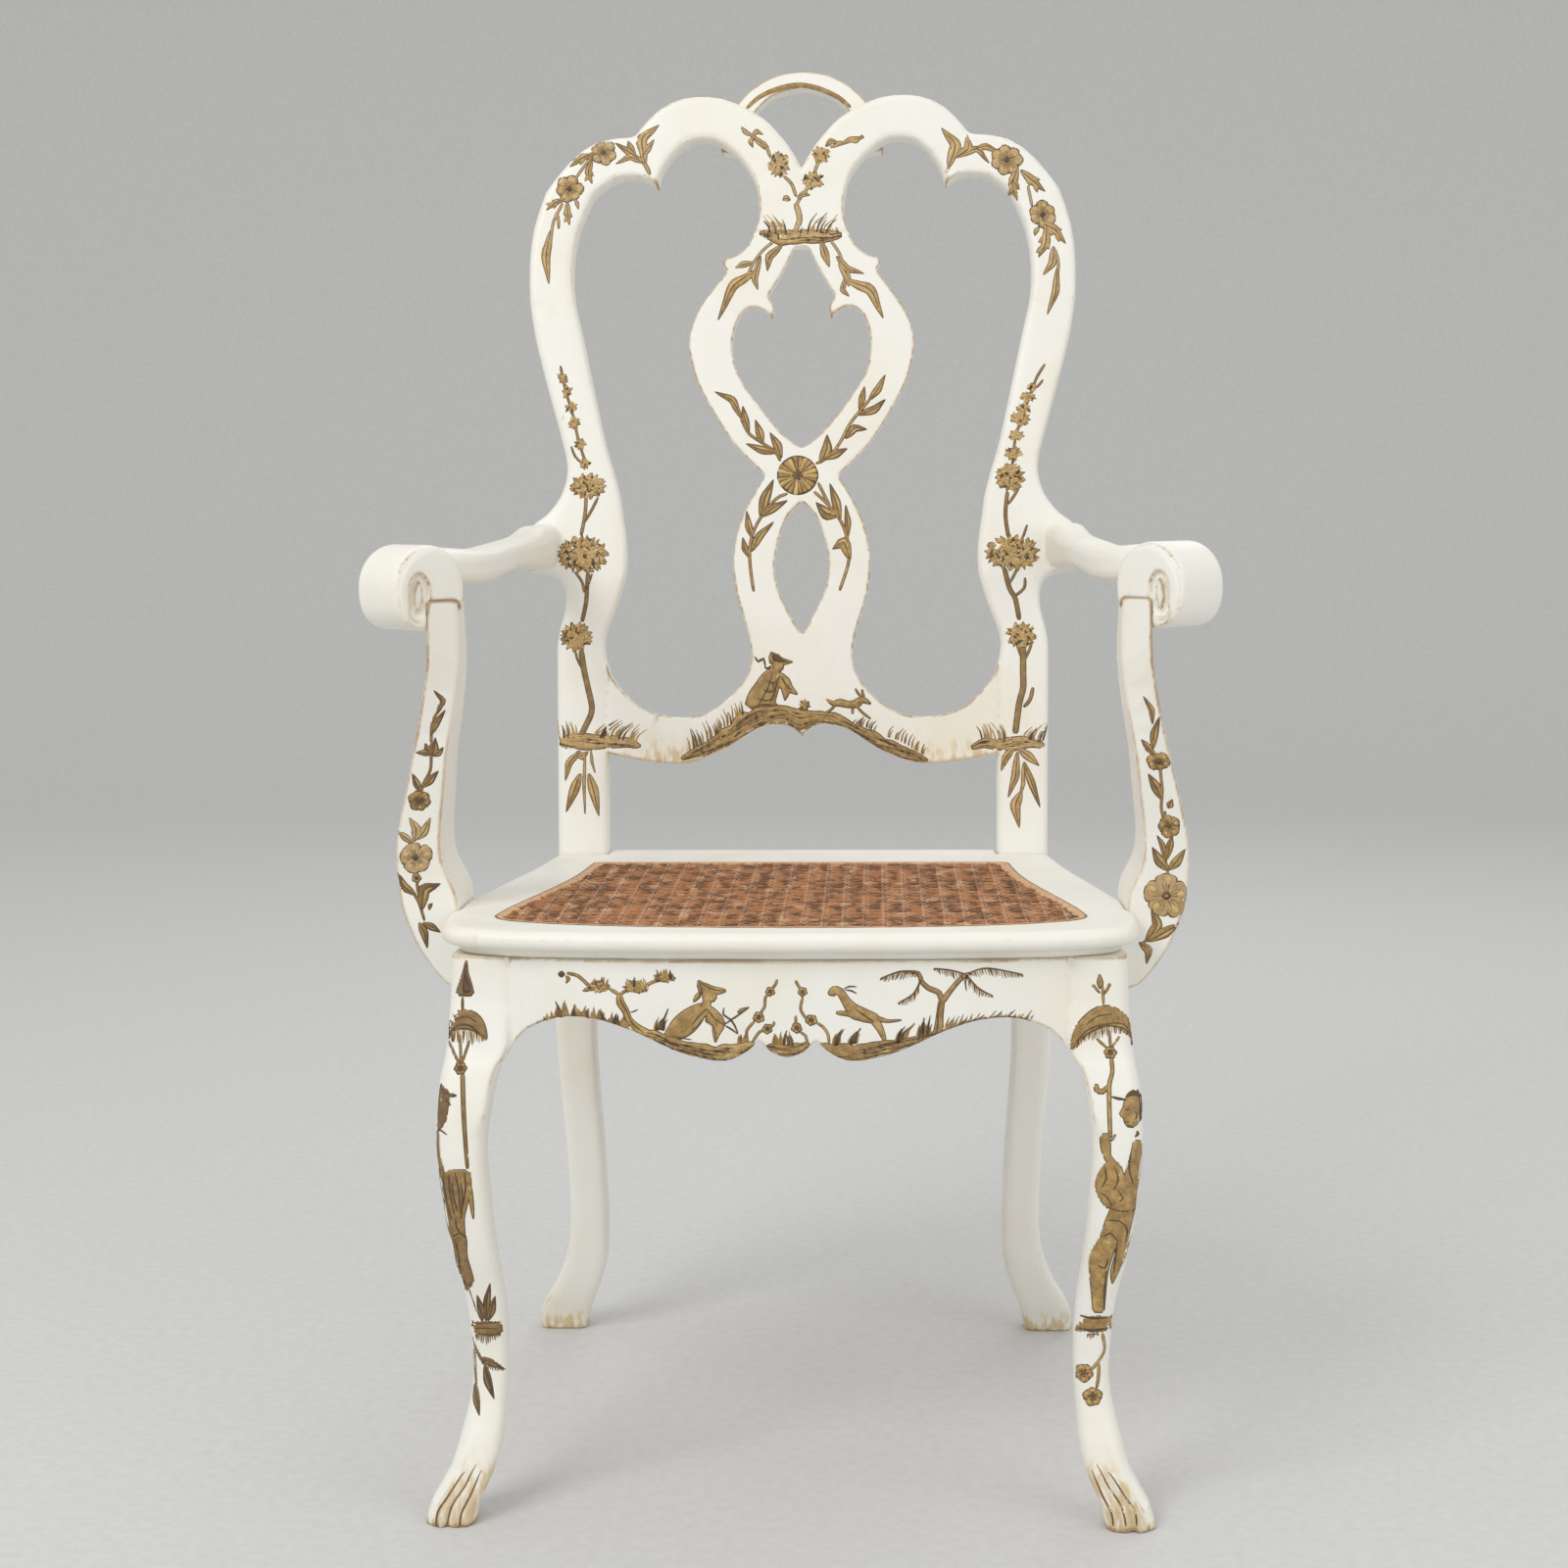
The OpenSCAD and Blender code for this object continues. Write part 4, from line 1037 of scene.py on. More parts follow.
# bands over the edge of the cane: offset, width and rise in metres, and place of the finish
EDGE_BANDS = ((-0.004, 0.008, 0.0006, 0), (-0.0003, 0.002, 0.0002, 1))
EDGE_STEP = 0.004


def thicken(bm):
    """Gives a flat web its underside and edges."""
    made = bmesh.ops.extrude_face_region(bm, geom=bm.faces[:], use_keep_orig=True)
    fresh = [g for g in made["geom"] if isinstance(g, bmesh.types.BMVert)]
    bmesh.ops.translate(bm, verts=fresh, vec=(0, 0, -CANE_THICK))
    bmesh.ops.recalc_face_normals(bm, faces=bm.faces)


class ARMCHAIR_OT_cane(bpy.types.Operator):
    """Woven cane: pairs of strands both ways, two diagonals, and the strip over the edge"""

    bl_idname = "armchair.cane"
    bl_label = "Caned seat"

    def execute(self, context):
        outline = seat_outline()
        self.web(outline)
        self.strip(outline)
        return {"FINISHED"}

    def web(self, outline):
        """The strands, each from edge to edge of the opening."""
        s = sizes()
        hull = convex_hull_2d([p.xy for p in outline])
        outline = [outline[i] for i in hull]
        bm = bmesh.new()
        tone = bm.verts.layers.float.new("tone")
        chance = random.Random(7)
        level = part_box("cane_panel")[1].z - CANE_INSET
        front, back = min(p.y for p in outline), max(p.y for p in outline)
        wide = max(p.x for p in outline)
        middle = (front + back) / 2

        def strand(place, along, across, width, wave, shade):
            """A flat strand through place; wave gives its height at a distance along it."""
            low, high = crossing(outline, place, along)
            run = high - low
            if run < s.pitch / 2:
                return
            parts = max(3, round(run / (s.pitch / 3)))
            grid = bmesh.ops.create_grid(bm, x_segments=parts, y_segments=1, size=0.5)["verts"]
            lift = {}
            for v in grid:
                t = low + (v.co.x + 0.5) * run
                key = round(t, 6)
                if key not in lift:
                    lift[key] = wave(t) + chance.uniform(-1, 1) * LIFT_STRAY
                side = v.co.y * width * (1 + 0.12 * math.sin(40 * t + shade * 9))
                v.co = place + along * t + across * side + Vector((0, 0, lift[key]))
                v[tone] = shade

        step = math.pi / s.pitch
        x_axis, y_axis = Vector((1, 0, 0)), Vector((0, 1, 0))
        pair = s.strand * PAIR_SHARE
        columns, rows = int(wide / s.pitch) + 1, int((back - front) / 2 / s.pitch) + 1
        for k in range(-columns, columns):
            for side, up in COLUMN_PAIR:
                x = (k + 0.5) * s.pitch + side * pair + chance.uniform(-1, 1) * STRAY
                strand(Vector((x, middle, level)), y_axis, x_axis, s.strand,
                       lambda t, up=up: up, 0.25 + 0.5 * chance.random())
        for k in range(-rows, rows):
            for side, up in ROW_PAIR:
                y = middle + (k + 0.5) * s.pitch + side * pair + chance.uniform(-1, 1) * STRAY

                def row_wave(t, up=up, side=side):
                    return up + ROW_WAVE * side * math.cos(2 * step * t)

                strand(Vector((0, y, level)), x_axis, y_axis, s.strand, row_wave,
                       0.9 * chance.random())
        half = math.sqrt(0.5)
        reach = int((wide + back - front) / s.pitch) + 1
        for slope in (-1, 1):
            along = Vector((half, slope * half, 0))
            across = Vector((-slope * half, half, 0))

            def slant_wave(t, slope=slope):
                return DIAGONAL_LIFT + slope * DIAGONAL_WAVE * math.cos(2 * step * t * half)

            for k in range(-reach, reach + 1):
                strand(Vector((k * s.pitch, middle, level)), along, across, s.strand * 0.8,
                       slant_wave, 0.6 * chance.random())
        thicken(bm)
        piece = piece_from("cane_seat", bm, ["cane"])
        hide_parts("cane_panel")

    def strip(self, outline):
        """A frayed strip along the sides and the back, and a dark line all round."""
        bm = bmesh.new()
        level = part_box("cane_binding")[1].z - CANE_INSET
        chance = random.Random(3)
        front = min(p.y for p in outline)
        loop = outline + [outline[0]]
        path = [(outline[0].x, outline[0].y, 0)]
        for p, q in zip(loop[:-1], loop[1:]):
            parts = max(1, round((q.xy - p.xy).length / EDGE_STEP))
            path += [(*p.xy.lerp(q.xy, (k + 1) / parts), 0) for k in range(parts)]
        last = len(path) - 1
        for offset, width, rise, slot in EDGE_BANDS:
            grid = bmesh.ops.create_grid(bm, x_segments=last, y_segments=2, size=0.5)["verts"]
            for v in grid:
                i = round((v.co.x + 0.5) * last)
                here, near, after = (Vector(path[k]) for k in (i, max(i - 1, 0), min(i + 1, last)))
                along = (after - near).normalized()
                side = v.co.y
                narrow = 1.0
                if slot == 0:
                    # almost no strip is left along the front
                    narrow = 0.12 + 0.88 * min(1, max(0, here.y - front - 0.03) / 0.03)
                    side += chance.uniform(-1, 1) * 0.22 if side < -0.4 else 0
                out = Vector((along.y, -along.x, 0))
                v.co = (here + Vector((0, 0, level + rise * (1 - 4 * side * side)))
                        + out * ((offset + side * width) * narrow))
            for f in {f for v in grid for f in v.link_faces}:
                f.material_index = slot
        thicken(bm)
        piece = piece_from("cane_edge_strip", bm, ["strip", "line"])
        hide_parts("cane_binding")


# ---------------------------------------------------------------- gilding


def gild_crest(art):
    """Sprouts on the shoulders and the flowering tree in the middle of the crest."""
    art.tint(-0.75, -0.1)
    # left shoulder
    art.stems(
        [(663, 178), (660, 171), (656, 165), (648, 159)], [(656, 165), (656, 157)], width=3.4,
    )
    art.leaves(
        (658, 167, 655, 142, 672, 128, 12), (655, 160, 661, 152, 667, 143, 7),
        (656, 166, 643, 160, 629, 167, 7), (652, 162, 640, 154, 628, 146, 7),
        (648, 158, 643, 150, 641, 144, 7), (646, 160, 641, 156, 634, 151, 5),
        (587, 204, 589, 208, 590, 213, 4), (562, 236, 557, 262, 560, 289, 10),
        (562, 250, 557, 252, 554, 254, 3),
    )
    art.acanthus(
        (606, 157, 594, 161, 582, 170, 8), (604, 163, 600, 176, 604, 187, 7),
        (577, 203, 566, 207, 558, 214, 6), (579, 206, 579, 218, 581, 229, 7),
    )
    art.stems(
        [(604, 160), (596, 170), (586, 184)], [(574, 208), (565, 226), (562, 246)],
        [(569, 219), (570, 226), (570, 233)],
    )
    art.flower(616, 156, 12, 6, 0.3)
    art.flower(581, 193, 13, 6, 0.9)
    # right shoulder
    art.stems(
        [(966, 176), (969, 167), (974, 158)], [(985, 154), (1003, 151), (1016, 154)], width=3,
    )
    art.leaves(
        (968, 170, 975, 148, 961, 131, 13), (976, 160, 988, 152, 987, 138, 11),
        (976, 160, 997, 152, 1009, 166, 7), (992, 153, 1006, 149, 1017, 153, 6),
        (1060, 232, 1057, 236, 1056, 240, 5), (1075, 252, 1074, 268, 1065, 280, 9),
        (1079, 274, 1077, 298, 1069, 320, 8),
    )
    art.acanthus(
        (1038, 172, 1033, 188, 1038, 204, 11), (1042, 174, 1053, 184, 1066, 195, 10),
        (1064, 228, 1076, 234, 1087, 248, 10), (1068, 230, 1067, 248, 1060, 262, 10),
    )
    art.stems([(1049, 190), (1051, 200), (1053, 210)], [(1076, 254), (1080, 268), (1078, 290)])
    art.flower(1027, 163, 15, 7, 0.1)
    art.flower(1064, 219, 13, 6, 0.5)
    # middle tree
    art.stems(
        [(757, 131), (768, 139), (780, 147), (786, 160)], [(800, 180), (808, 188), (812, 200)],
        [(812, 236), (817, 222), (813, 210), (818, 200), (829, 186)],
        [(831, 176), (834, 168), (840, 158)], [(848, 150), (864, 145), (881, 140)], width=2.4,
    )
    art.stems([(810, 238), (816, 224), (812, 208)], width=5)
    art.leaves(
        (764, 138, 760, 134, 757, 130, 5), (768, 139, 772, 134, 778, 137, 5),
        (768, 140, 766, 145, 768, 150, 5), (776, 144, 780, 148, 784, 150, 6),
        (770, 142, 776, 146, 780, 152, 6), (860, 146, 868, 142, 881, 140, 5),
        (852, 149, 857, 146, 862, 146, 5), (868, 144, 874, 144, 880, 138, 4),
        (806, 204, 802, 202, 799, 204, 6), (815, 200, 820, 198, 826, 199, 6),
        (843, 149, 848, 144, 856, 146, 6),
    )
    art.crown(795, 168, 11, 13)
    art.crown(830, 184, 11, 9)
    art.crown(838, 158, 9, 9)
    art.dot(803, 203, 3)
    art.dot(816, 201, 3)
    art.earth([
        (776, 238, 4), (786, 240, 10), (798, 243, 13), (812, 242, 12), (828, 241, 13),
        (842, 241, 11), (858, 240, 6),
    ], 24)
    art.grass([(785, 237), (792, 237), (802, 237)], 15, 17, -0.5)
    art.grass([(779, 240), (800, 243), (815, 239), (838, 238), (856, 240)], 20, 8, 0.1)
    art.grass([(824, 236), (835, 236), (846, 237)], 10, 17, 0.7)
    # sprigs that hang from the mound
    art.stems(
        [(790, 246), (778, 256), (768, 270), (760, 288)], [(798, 250), (790, 258), (784, 272)],
        [(838, 246), (843, 256), (846, 270)], [(848, 246), (858, 262), (862, 286)],
        [(862, 270), (868, 286)],
    )
    art.leaves(
        (772, 276, 748, 292, 733, 326, 11), (776, 262, 770, 284, 773, 295, 7),
        (768, 268, 758, 270, 751, 273, 7), (798, 250, 785, 262, 783, 276, 9),
        (838, 246, 842, 260, 846, 272, 9), (854, 262, 864, 274, 881, 279, 8),
        (862, 284, 860, 296, 866, 302, 6), (864, 286, 888, 296, 901, 324, 12),
        (856, 270, 864, 284, 866, 292, 5),
    )


def gild_splat(art):
    """Rosette where the bands of the splat cross, with four sprays of leaves."""
    art.stems(
        [(796, 470), (791, 461), (778, 452), (764, 442), (756, 426)],
        [(833, 473), (847, 465), (858, 450), (867, 433), (877, 420), (888, 407)],
        [(803, 504), (792, 509), (777, 527), (768, 545), (765, 562), (766, 582), (769, 603)],
        [(831, 502), (843, 513), (858, 532), (865, 552), (866, 573), (857, 602)],
        [(835, 493), (842, 507), (847, 517)], width=2.2,
    )
    art.leaves(
        (756, 426, 747, 408, 730, 400, 8), (764, 440, 760, 427, 758, 415, 8),
        (778, 452, 775, 441, 771, 429, 9), (797, 467, 793, 454, 786, 442, 10),
        (791, 462, 777, 459, 762, 453, 9), (887, 408, 896, 397, 903, 383, 8),
        (877, 418, 880, 405, 882, 395, 7), (876, 423, 892, 418, 903, 408, 9),
        (863, 447, 872, 437, 884, 438, 9), (837, 472, 844, 458, 844, 444, 12),
        (840, 468, 853, 463, 864, 458, 10), (776, 526, 781, 508, 789, 490, 12),
        (777, 527, 790, 518, 803, 511, 9), (768, 549, 764, 537, 762, 522, 8),
        (767, 562, 775, 547, 789, 533, 9), (764, 568, 760, 559, 758, 549, 7),
        (857, 530, 853, 512, 847, 494, 10), (853, 527, 843, 524, 833, 513, 14),
        (865, 547, 865, 532, 863, 516, 7), (867, 570, 861, 553, 850, 560, 13),
    )
    art.rosette(814, 485, 20.5)


def stile_tree(art, roots, blades, trunks, crowns, spire, hanging):
    """A thin tree in tiers that grows from a mound, with leaves under the mound."""
    art.tint(0.4, 0.65)
    for run, width in trunks:
        art.stems(run, width=width)
    art.tint(-0.6, 0.15)
    art.earth(roots, 14)
    for base, count, lean in blades:
        art.grass(base, count, 15, lean)
    for crown in crowns:
        art.crown(*crown)
    for x, y, wide, high in spire:
        art.crown(x, y, wide, high, 0.85)
    art.leaves(*hanging)


def gild_stiles(art):
    """A tree up each stile."""
    stile_tree(
        art,
        [(567, 757, 4), (577, 757, 12), (592, 756, 16), (608, 757, 13), (625, 757, 11),
         (640, 758, 10), (653, 761, 3)],
        [([(570, 752), (580, 751), (590, 750)], 9, -0.3),
         ([(606, 751), (625, 752), (648, 756)], 20, 0.9)],
        [([(593, 664), (596, 684), (600, 702), (604, 724), (598, 740), (592, 752)], 5),
         ([(587, 664), (589, 672), (593, 681)], 1.6), ([(587, 584), (594, 594), (596, 604)], 1.8),
         ([(600, 584), (599, 600), (598, 615), (594, 634)], 3.2),
         ([(604, 586), (601, 594), (598, 603)], 1.6), ([(598, 508), (597, 525), (593, 546)], 2.6),
         ([(610, 508), (604, 520), (597, 532)], 2),
         ([(598, 474), (590, 448), (585, 425), (577, 398), (572, 374)], 1.8),
         ([(583, 456), (587, 466), (593, 472)], 1.4)],
        [(595, 566, 25, 19), (600, 496, 18, 13), (588, 650, 16, 15)],
        [(597, 473, 6, 5), (592, 453, 6, 6), (586, 432, 6, 7), (583, 415, 6, 5), (579, 400, 4, 4),
         (574, 387, 5, 4)],
        [(592, 767, 581, 778, 577, 796, 8), (592, 790, 586, 806, 578, 828, 11),
         (597, 768, 596, 800, 597, 830, 3), (601, 790, 606, 808, 611, 832, 11),
         (603, 766, 604, 777, 607, 788, 2.5), (589, 767, 594, 772, 600, 767, 8)],
    )
    stile_tree(
        art,
        [(992, 763, 4), (1005, 758, 9), (1022, 760, 11), (1036, 758, 15), (1050, 758, 10),
         (1065, 760, 6)],
        [([(1002, 752), (1014, 754), (1028, 754)], 11, -0.4),
         ([(1042, 754), (1052, 753), (1064, 754)], 11, 0.7)],
        [([(1044, 660), (1044, 685), (1044, 702), (1040, 718), (1036, 748)], 5.5),
         ([(1054, 702), (1051, 714), (1045, 721)], 3),
         ([(1028, 502), (1026, 525), (1029, 548)], 3),
         ([(1040, 497), (1034, 507), (1029, 514)], 2),
         ([(1025, 580), (1030, 600), (1036, 611), (1040, 632)], 4),
         ([(1038, 580), (1033, 590), (1029, 596)], 2),
         ([(1046, 590), (1045, 600), (1036, 608)], 2),
         ([(1037, 655), (1040, 664), (1043, 672)], 2),
         ([(1053, 655), (1050, 664), (1045, 674)], 2),
         ([(1066, 372), (1058, 385), (1050, 406), (1042, 428), (1036, 448), (1033, 474)], 1.8),
         ([(1064, 388), (1060, 393), (1056, 396)], 1.6),
         ([(1048, 536), (1046, 542), (1044, 548)], 1.6)],
        [(1033, 564, 27, 18), (1031, 487, 15, 14), (1042, 648, 15, 13)],
        [(1034, 463, 9, 7), (1037, 444, 8, 5), (1041, 427, 10, 8), (1044, 417, 7, 5),
         (1049, 405, 8, 5), (1053, 395, 5, 4)],
        [(1034, 764, 1026, 773, 1022, 786, 9), (1039, 764, 1050, 772, 1060, 781, 10),
         (1038, 768, 1036, 792, 1029, 813, 9), (1045, 778, 1053, 800, 1061, 823, 8),
         (1044, 780, 1044, 800, 1040, 814, 4), (1042, 808, 1036, 822, 1040, 844, 12)],
    )


def gild_stay(art):
    """Bank of earth along the stay rail, with a resting traveller and a running hound."""
    art.tint(0.15, 0.45)
    art.earth([
        (696, 774, 3), (710, 768, 9), (728, 760, 14), (746, 751, 20), (764, 739, 26),
        (782, 731, 22), (800, 729, 19), (816, 735, 24), (832, 732, 13), (850, 734, 12),
        (870, 745, 15), (893, 757, 17), (915, 766, 14), (932, 772, 9), (946, 776, 3),
    ], 110)
    art.grass([(704, 764), (722, 754), (744, 738), (758, 728)], 26, 15, -0.25)
    art.grass([(868, 740), (880, 739), (893, 746)], 9, 7, 0.8)
    art.grass([(905, 750), (918, 754), (932, 762), (943, 769)], 12, 9, 0.5)
    # robe, sleeve and plain broad hat over a turned-away head
    art.forms([
        (792, 683, 8), (787, 692, 19), (782, 703, 24), (777, 714, 29), (777, 722, 34),
    ], cells=4)
    art.forms(
        [(793, 688, 8), (800, 697, 13), (806, 703, 7), (813, 708, 1.5)],
        [(800, 697, 9), (802, 706, 7), (801, 714, 1)],
        [(793, 675, 9), (794, 680, 11), (794, 685, 7)],
        [(787, 666, 1.5), (790, 672, 12), (796, 675, 8), (808, 675.5, 1)],
    )
    art.stroke([(788, 667, 1), (791, 671, 7), (797, 674, 4), (806, 675.5, 1)], "vein")
    art.dark(
        [(788, 689), (783, 703), (774, 719)], [(796, 689), (792, 700), (790, 712)],
        [(788, 697), (790, 706), (786, 716)], [(768, 722), (778, 719), (790, 720)],
        [(797, 690), (802, 699), (808, 704)], [(779, 704), (785, 706), (792, 704)],
        [(773, 712), (781, 715), (790, 713)], [(784, 695), (788, 697), (793, 695)], width=1.7,
    )
    art.dark(
        [(770, 670), (774, 675), (779, 672), (781, 681)], [(780, 681), (784, 682), (787, 679)],
        width=2.6,
    )
    art.crown(821, 720, 6, 6, 0.8)
    # hound
    art.forms([
        (844, 714, 1.2), (850, 718, 4), (857, 717, 7), (866, 719, 6), (874, 718, 8), (880, 714, 6),
        (888, 718, 2),
    ], extra=0.8)
    art.stems(
        [(853, 719), (847, 725), (841, 728)], [(871, 720), (870, 724), (870, 728)],
        [(874, 721), (881, 728), (888, 733)], [(880, 712), (876, 708), (873, 703)],
        [(882, 712), (880, 706), (880, 704)], width=1.8,
    )


def gild_apron(art):
    """Archer and bending tree, budding shoots, and a deer that leaps from a palm."""
    art.blade = 1.6
    # bending tree and the bank with the archer
    art.stems(
        [(579, 993), (590, 996), (601, 1006), (606, 1010)], [(622, 1009), (632, 1015)],
        [(632, 1016), (640, 1010), (648, 1011)], [(655, 1009), (664, 1003), (672, 1000)],
        width=2.6,
    )
    art.forms([
        (632, 1014, 4), (633, 1023, 7), (638, 1031, 6), (642, 1041, 6), (651, 1050, 8),
        (662, 1056, 9),
    ])
    art.dark(
        [(632, 1014), (634, 1022), (640, 1033), (646, 1045), (656, 1053)],
        [(643, 1033), (647, 1032), (651, 1030)],
    )
    art.dot(573, 994, 3.5, "vein")
    art.leaves((578, 996, 580, 999, 578, 1003, 4), (604, 1009, 598, 1010, 595, 1011, 4))
    for x, y, wide, high in ((611, 1007, 11, 6), (649, 1007, 13, 7), (678, 998, 11, 5)):
        art.crown(x, y, wide, high, 0.8)
        art.grass([(x - 0.7 * wide, y), (x, y - 2), (x + 0.7 * wide, y)], 7, 8)
    art.blade = 2.5
    art.grass([(555, 1045), (565, 1042)], 6, 11)
    art.grass([(567, 1042), (573, 1041), (580, 1041)], 10, 18, -0.1)
    art.grass([(583, 1041), (590, 1041), (600, 1042)], 12, 15)
    art.grass([(603, 1043), (612, 1044), (620, 1047), (628, 1049), (640, 1053)], 24, 14)
    art.blade = 1.6
    art.stroke([
        (540, 1056, 2), (558, 1046, 2.4), (583, 1042, 2.6), (604, 1044, 2.6), (625, 1050, 2.6),
        (650, 1059, 3), (672, 1068, 3),
    ], "line", 0, 1)
    art.earth([
        (652, 1054, 5), (667, 1057, 11), (688, 1066, 12), (706, 1071, 14), (725, 1075, 16),
        (745, 1074, 17), (759, 1071, 14), (769, 1065, 7),
    ], 46)
    art.grass([(668, 1050), (673, 1049), (678, 1050)], 9, 11, 0.4)
    art.dark([(675, 1048), (678, 1039), (682, 1029)], width=2)
    art.forms([
        (720, 1026, 8), (711, 1034, 18), (700, 1044, 23), (690, 1052, 19), (679, 1059, 6),
    ], cells=4)
    art.forms([(722, 1017, 7), (721, 1024, 8), (719, 1031, 9)])
    art.forms(
        [(721, 1028, 8), (728, 1038, 14), (733, 1045, 13), (731, 1054, 7), (730, 1063, 1)],
        [(719, 1011, 11), (724, 1016, 14), (725, 1022, 11)],
        [(713, 1001, 1.5), (717, 1008, 11), (726, 1011, 9), (740, 1011, 3)], cells=3,
    )
    art.forms([(714, 1014, 4), (711, 1018, 4), (708, 1022, 1)])
    art.dark(
        [(713, 1001), (716, 1012), (709, 1021)], [(714, 1002), (726, 1009), (740, 1011)],
        [(722, 1029), (714, 1036), (706, 1046)], [(721, 1029), (730, 1040), (738, 1045)],
        [(722, 1033), (720, 1042), (724, 1044)], [(716, 1040), (713, 1046), (705, 1051)],
        [(683, 1057), (694, 1059), (706, 1061)], [(727, 1045), (730, 1054), (730, 1061)],
    )
    art.dark(
        [(738, 1046), (750, 1038), (763, 1029)],
        [(739, 1028), (738, 1035), (745, 1040), (750, 1047), (753, 1055)],
        [(739, 1046), (746, 1050), (753, 1055)], width=1.9,
    )
    art.leaves((753, 1033, 757, 1031, 764, 1028, 4.5))
    # budding shoots beside the middle of the apron
    art.stems(
        [(763, 1063), (762, 1052), (770, 1042)],
        [(776, 1033), (780, 1028), (781, 1018), (785, 1013)],
        [(787, 1010), (791, 1005), (793, 1000)], [(768, 1063), (775, 1053), (781, 1051)],
        [(785, 1049), (789, 1046), (790, 1043)], [(812, 1001), (814, 1005), (818, 1011)],
        [(819, 1018), (817, 1030), (823, 1040)],
        [(832, 1043), (840, 1048), (845, 1056), (846, 1065)],
        [(812, 1037), (812, 1042), (813, 1046)], [(816, 1053), (822, 1057), (824, 1066)], width=2,
    )
    for x, y, size in ((774, 1038, 5), (786, 1012, 4), (783, 1050, 4.5), (819, 1012, 4),
                       (828, 1041, 5), (813, 1049, 4.5)):
        art.flower(x, y, size, 5, 0.4)
    art.grass([(752, 1064), (756, 1063), (761, 1063)], 5, 8)
    art.earth([
        (783, 1068, 5), (795, 1071, 12), (808, 1072, 12), (818, 1069, 9), (825, 1065, 4),
    ], 9)
    art.grass([(788, 1066), (798, 1064), (810, 1066)], 12, 12)
    # leaping deer
    art.forms([
        (846, 1014.5, 4), (851, 1011, 8), (857, 1012, 7), (863, 1021, 8), (870, 1030, 12),
        (879, 1035, 13), (888, 1038, 11), (897, 1041, 8),
    ], cells=3)
    art.forms(
        [(896, 1039, 5), (905, 1042, 2.4), (919, 1041, 0.8)],
        [(876, 1039, 7), (867, 1035, 4), (854, 1033.5, 3.4)],
        [(892, 1040, 9), (898, 1050, 6), (903, 1062, 3)],
    )
    art.dark(
        [(861, 1009), (867, 1006.5), (874, 1007)], [(862, 1010), (869, 1011), (874, 1014)],
        [(873, 1030), (882, 1036), (892, 1043)], [(847, 1015), (850, 1016), (853, 1015)],
        width=1.7,
    )
    # right bank, tree and palm branches
    art.earth([
        (838, 1066, 4), (848, 1072, 14), (865, 1075, 16), (885, 1073, 17), (905, 1069, 13),
        (925, 1065, 10), (945, 1059, 8), (964, 1054, 6), (988, 1050, 3.4), (1016, 1048, 2.4),
        (1048, 1047, 1.5),
    ], 46)
    art.grass([(850, 1065), (856, 1065)], 6, 14, 0.3)
    art.grass([(866, 1064), (874, 1063)], 7, 13, 0.4)
    art.grass([(914, 1063), (919, 1062), (924, 1061)], 9, 16, 0.5)
    art.grass([(936, 1060), (942, 1058), (948, 1056)], 11, 18, 0.1)
    art.forms(
        [(957, 1058, 12), (958, 1048, 8), (959, 1036, 6), (961, 1020, 5.5)],
        [(961, 1022, 5), (958, 1013, 4.4), (947, 1008, 4), (940, 1001, 3.4), (937, 993, 2.6),
         (922, 992, 2)],
        [(961, 1023, 5), (969, 1012, 4), (980, 999, 3.4), (989, 993, 2)],
    )
    art.dark([(955, 1056), (957, 1044), (957, 1032), (960, 1020)])
    for run, fall, lean in (
        ([(937, 993), (920, 991), (899, 998)], 9, -0.3),
        ([(939, 1000), (932, 1014), (917, 1023)], 9, 0.0),
        ([(986, 994), (970, 990), (953, 988)], 9, 0.3),
        ([(990, 992), (1008, 988), (1043, 994)], 9, 0.3),
        ([(987, 995), (998, 1008), (1013, 1016)], 8, -0.2),
        ([(986, 995), (985, 1002), (986, 1010)], 4, 0.2),
    ):
        art.frond(run, fall, lean)
    art.grass([
        (964, 1054), (975, 1052), (990, 1050), (1005, 1048), (1020, 1047), (1035, 1047),
        (1048, 1047),
    ], 48, 15, 0.4)


MIRROR = 1605  # what the pixel columns of a hoof's point and its mirrored one add up to


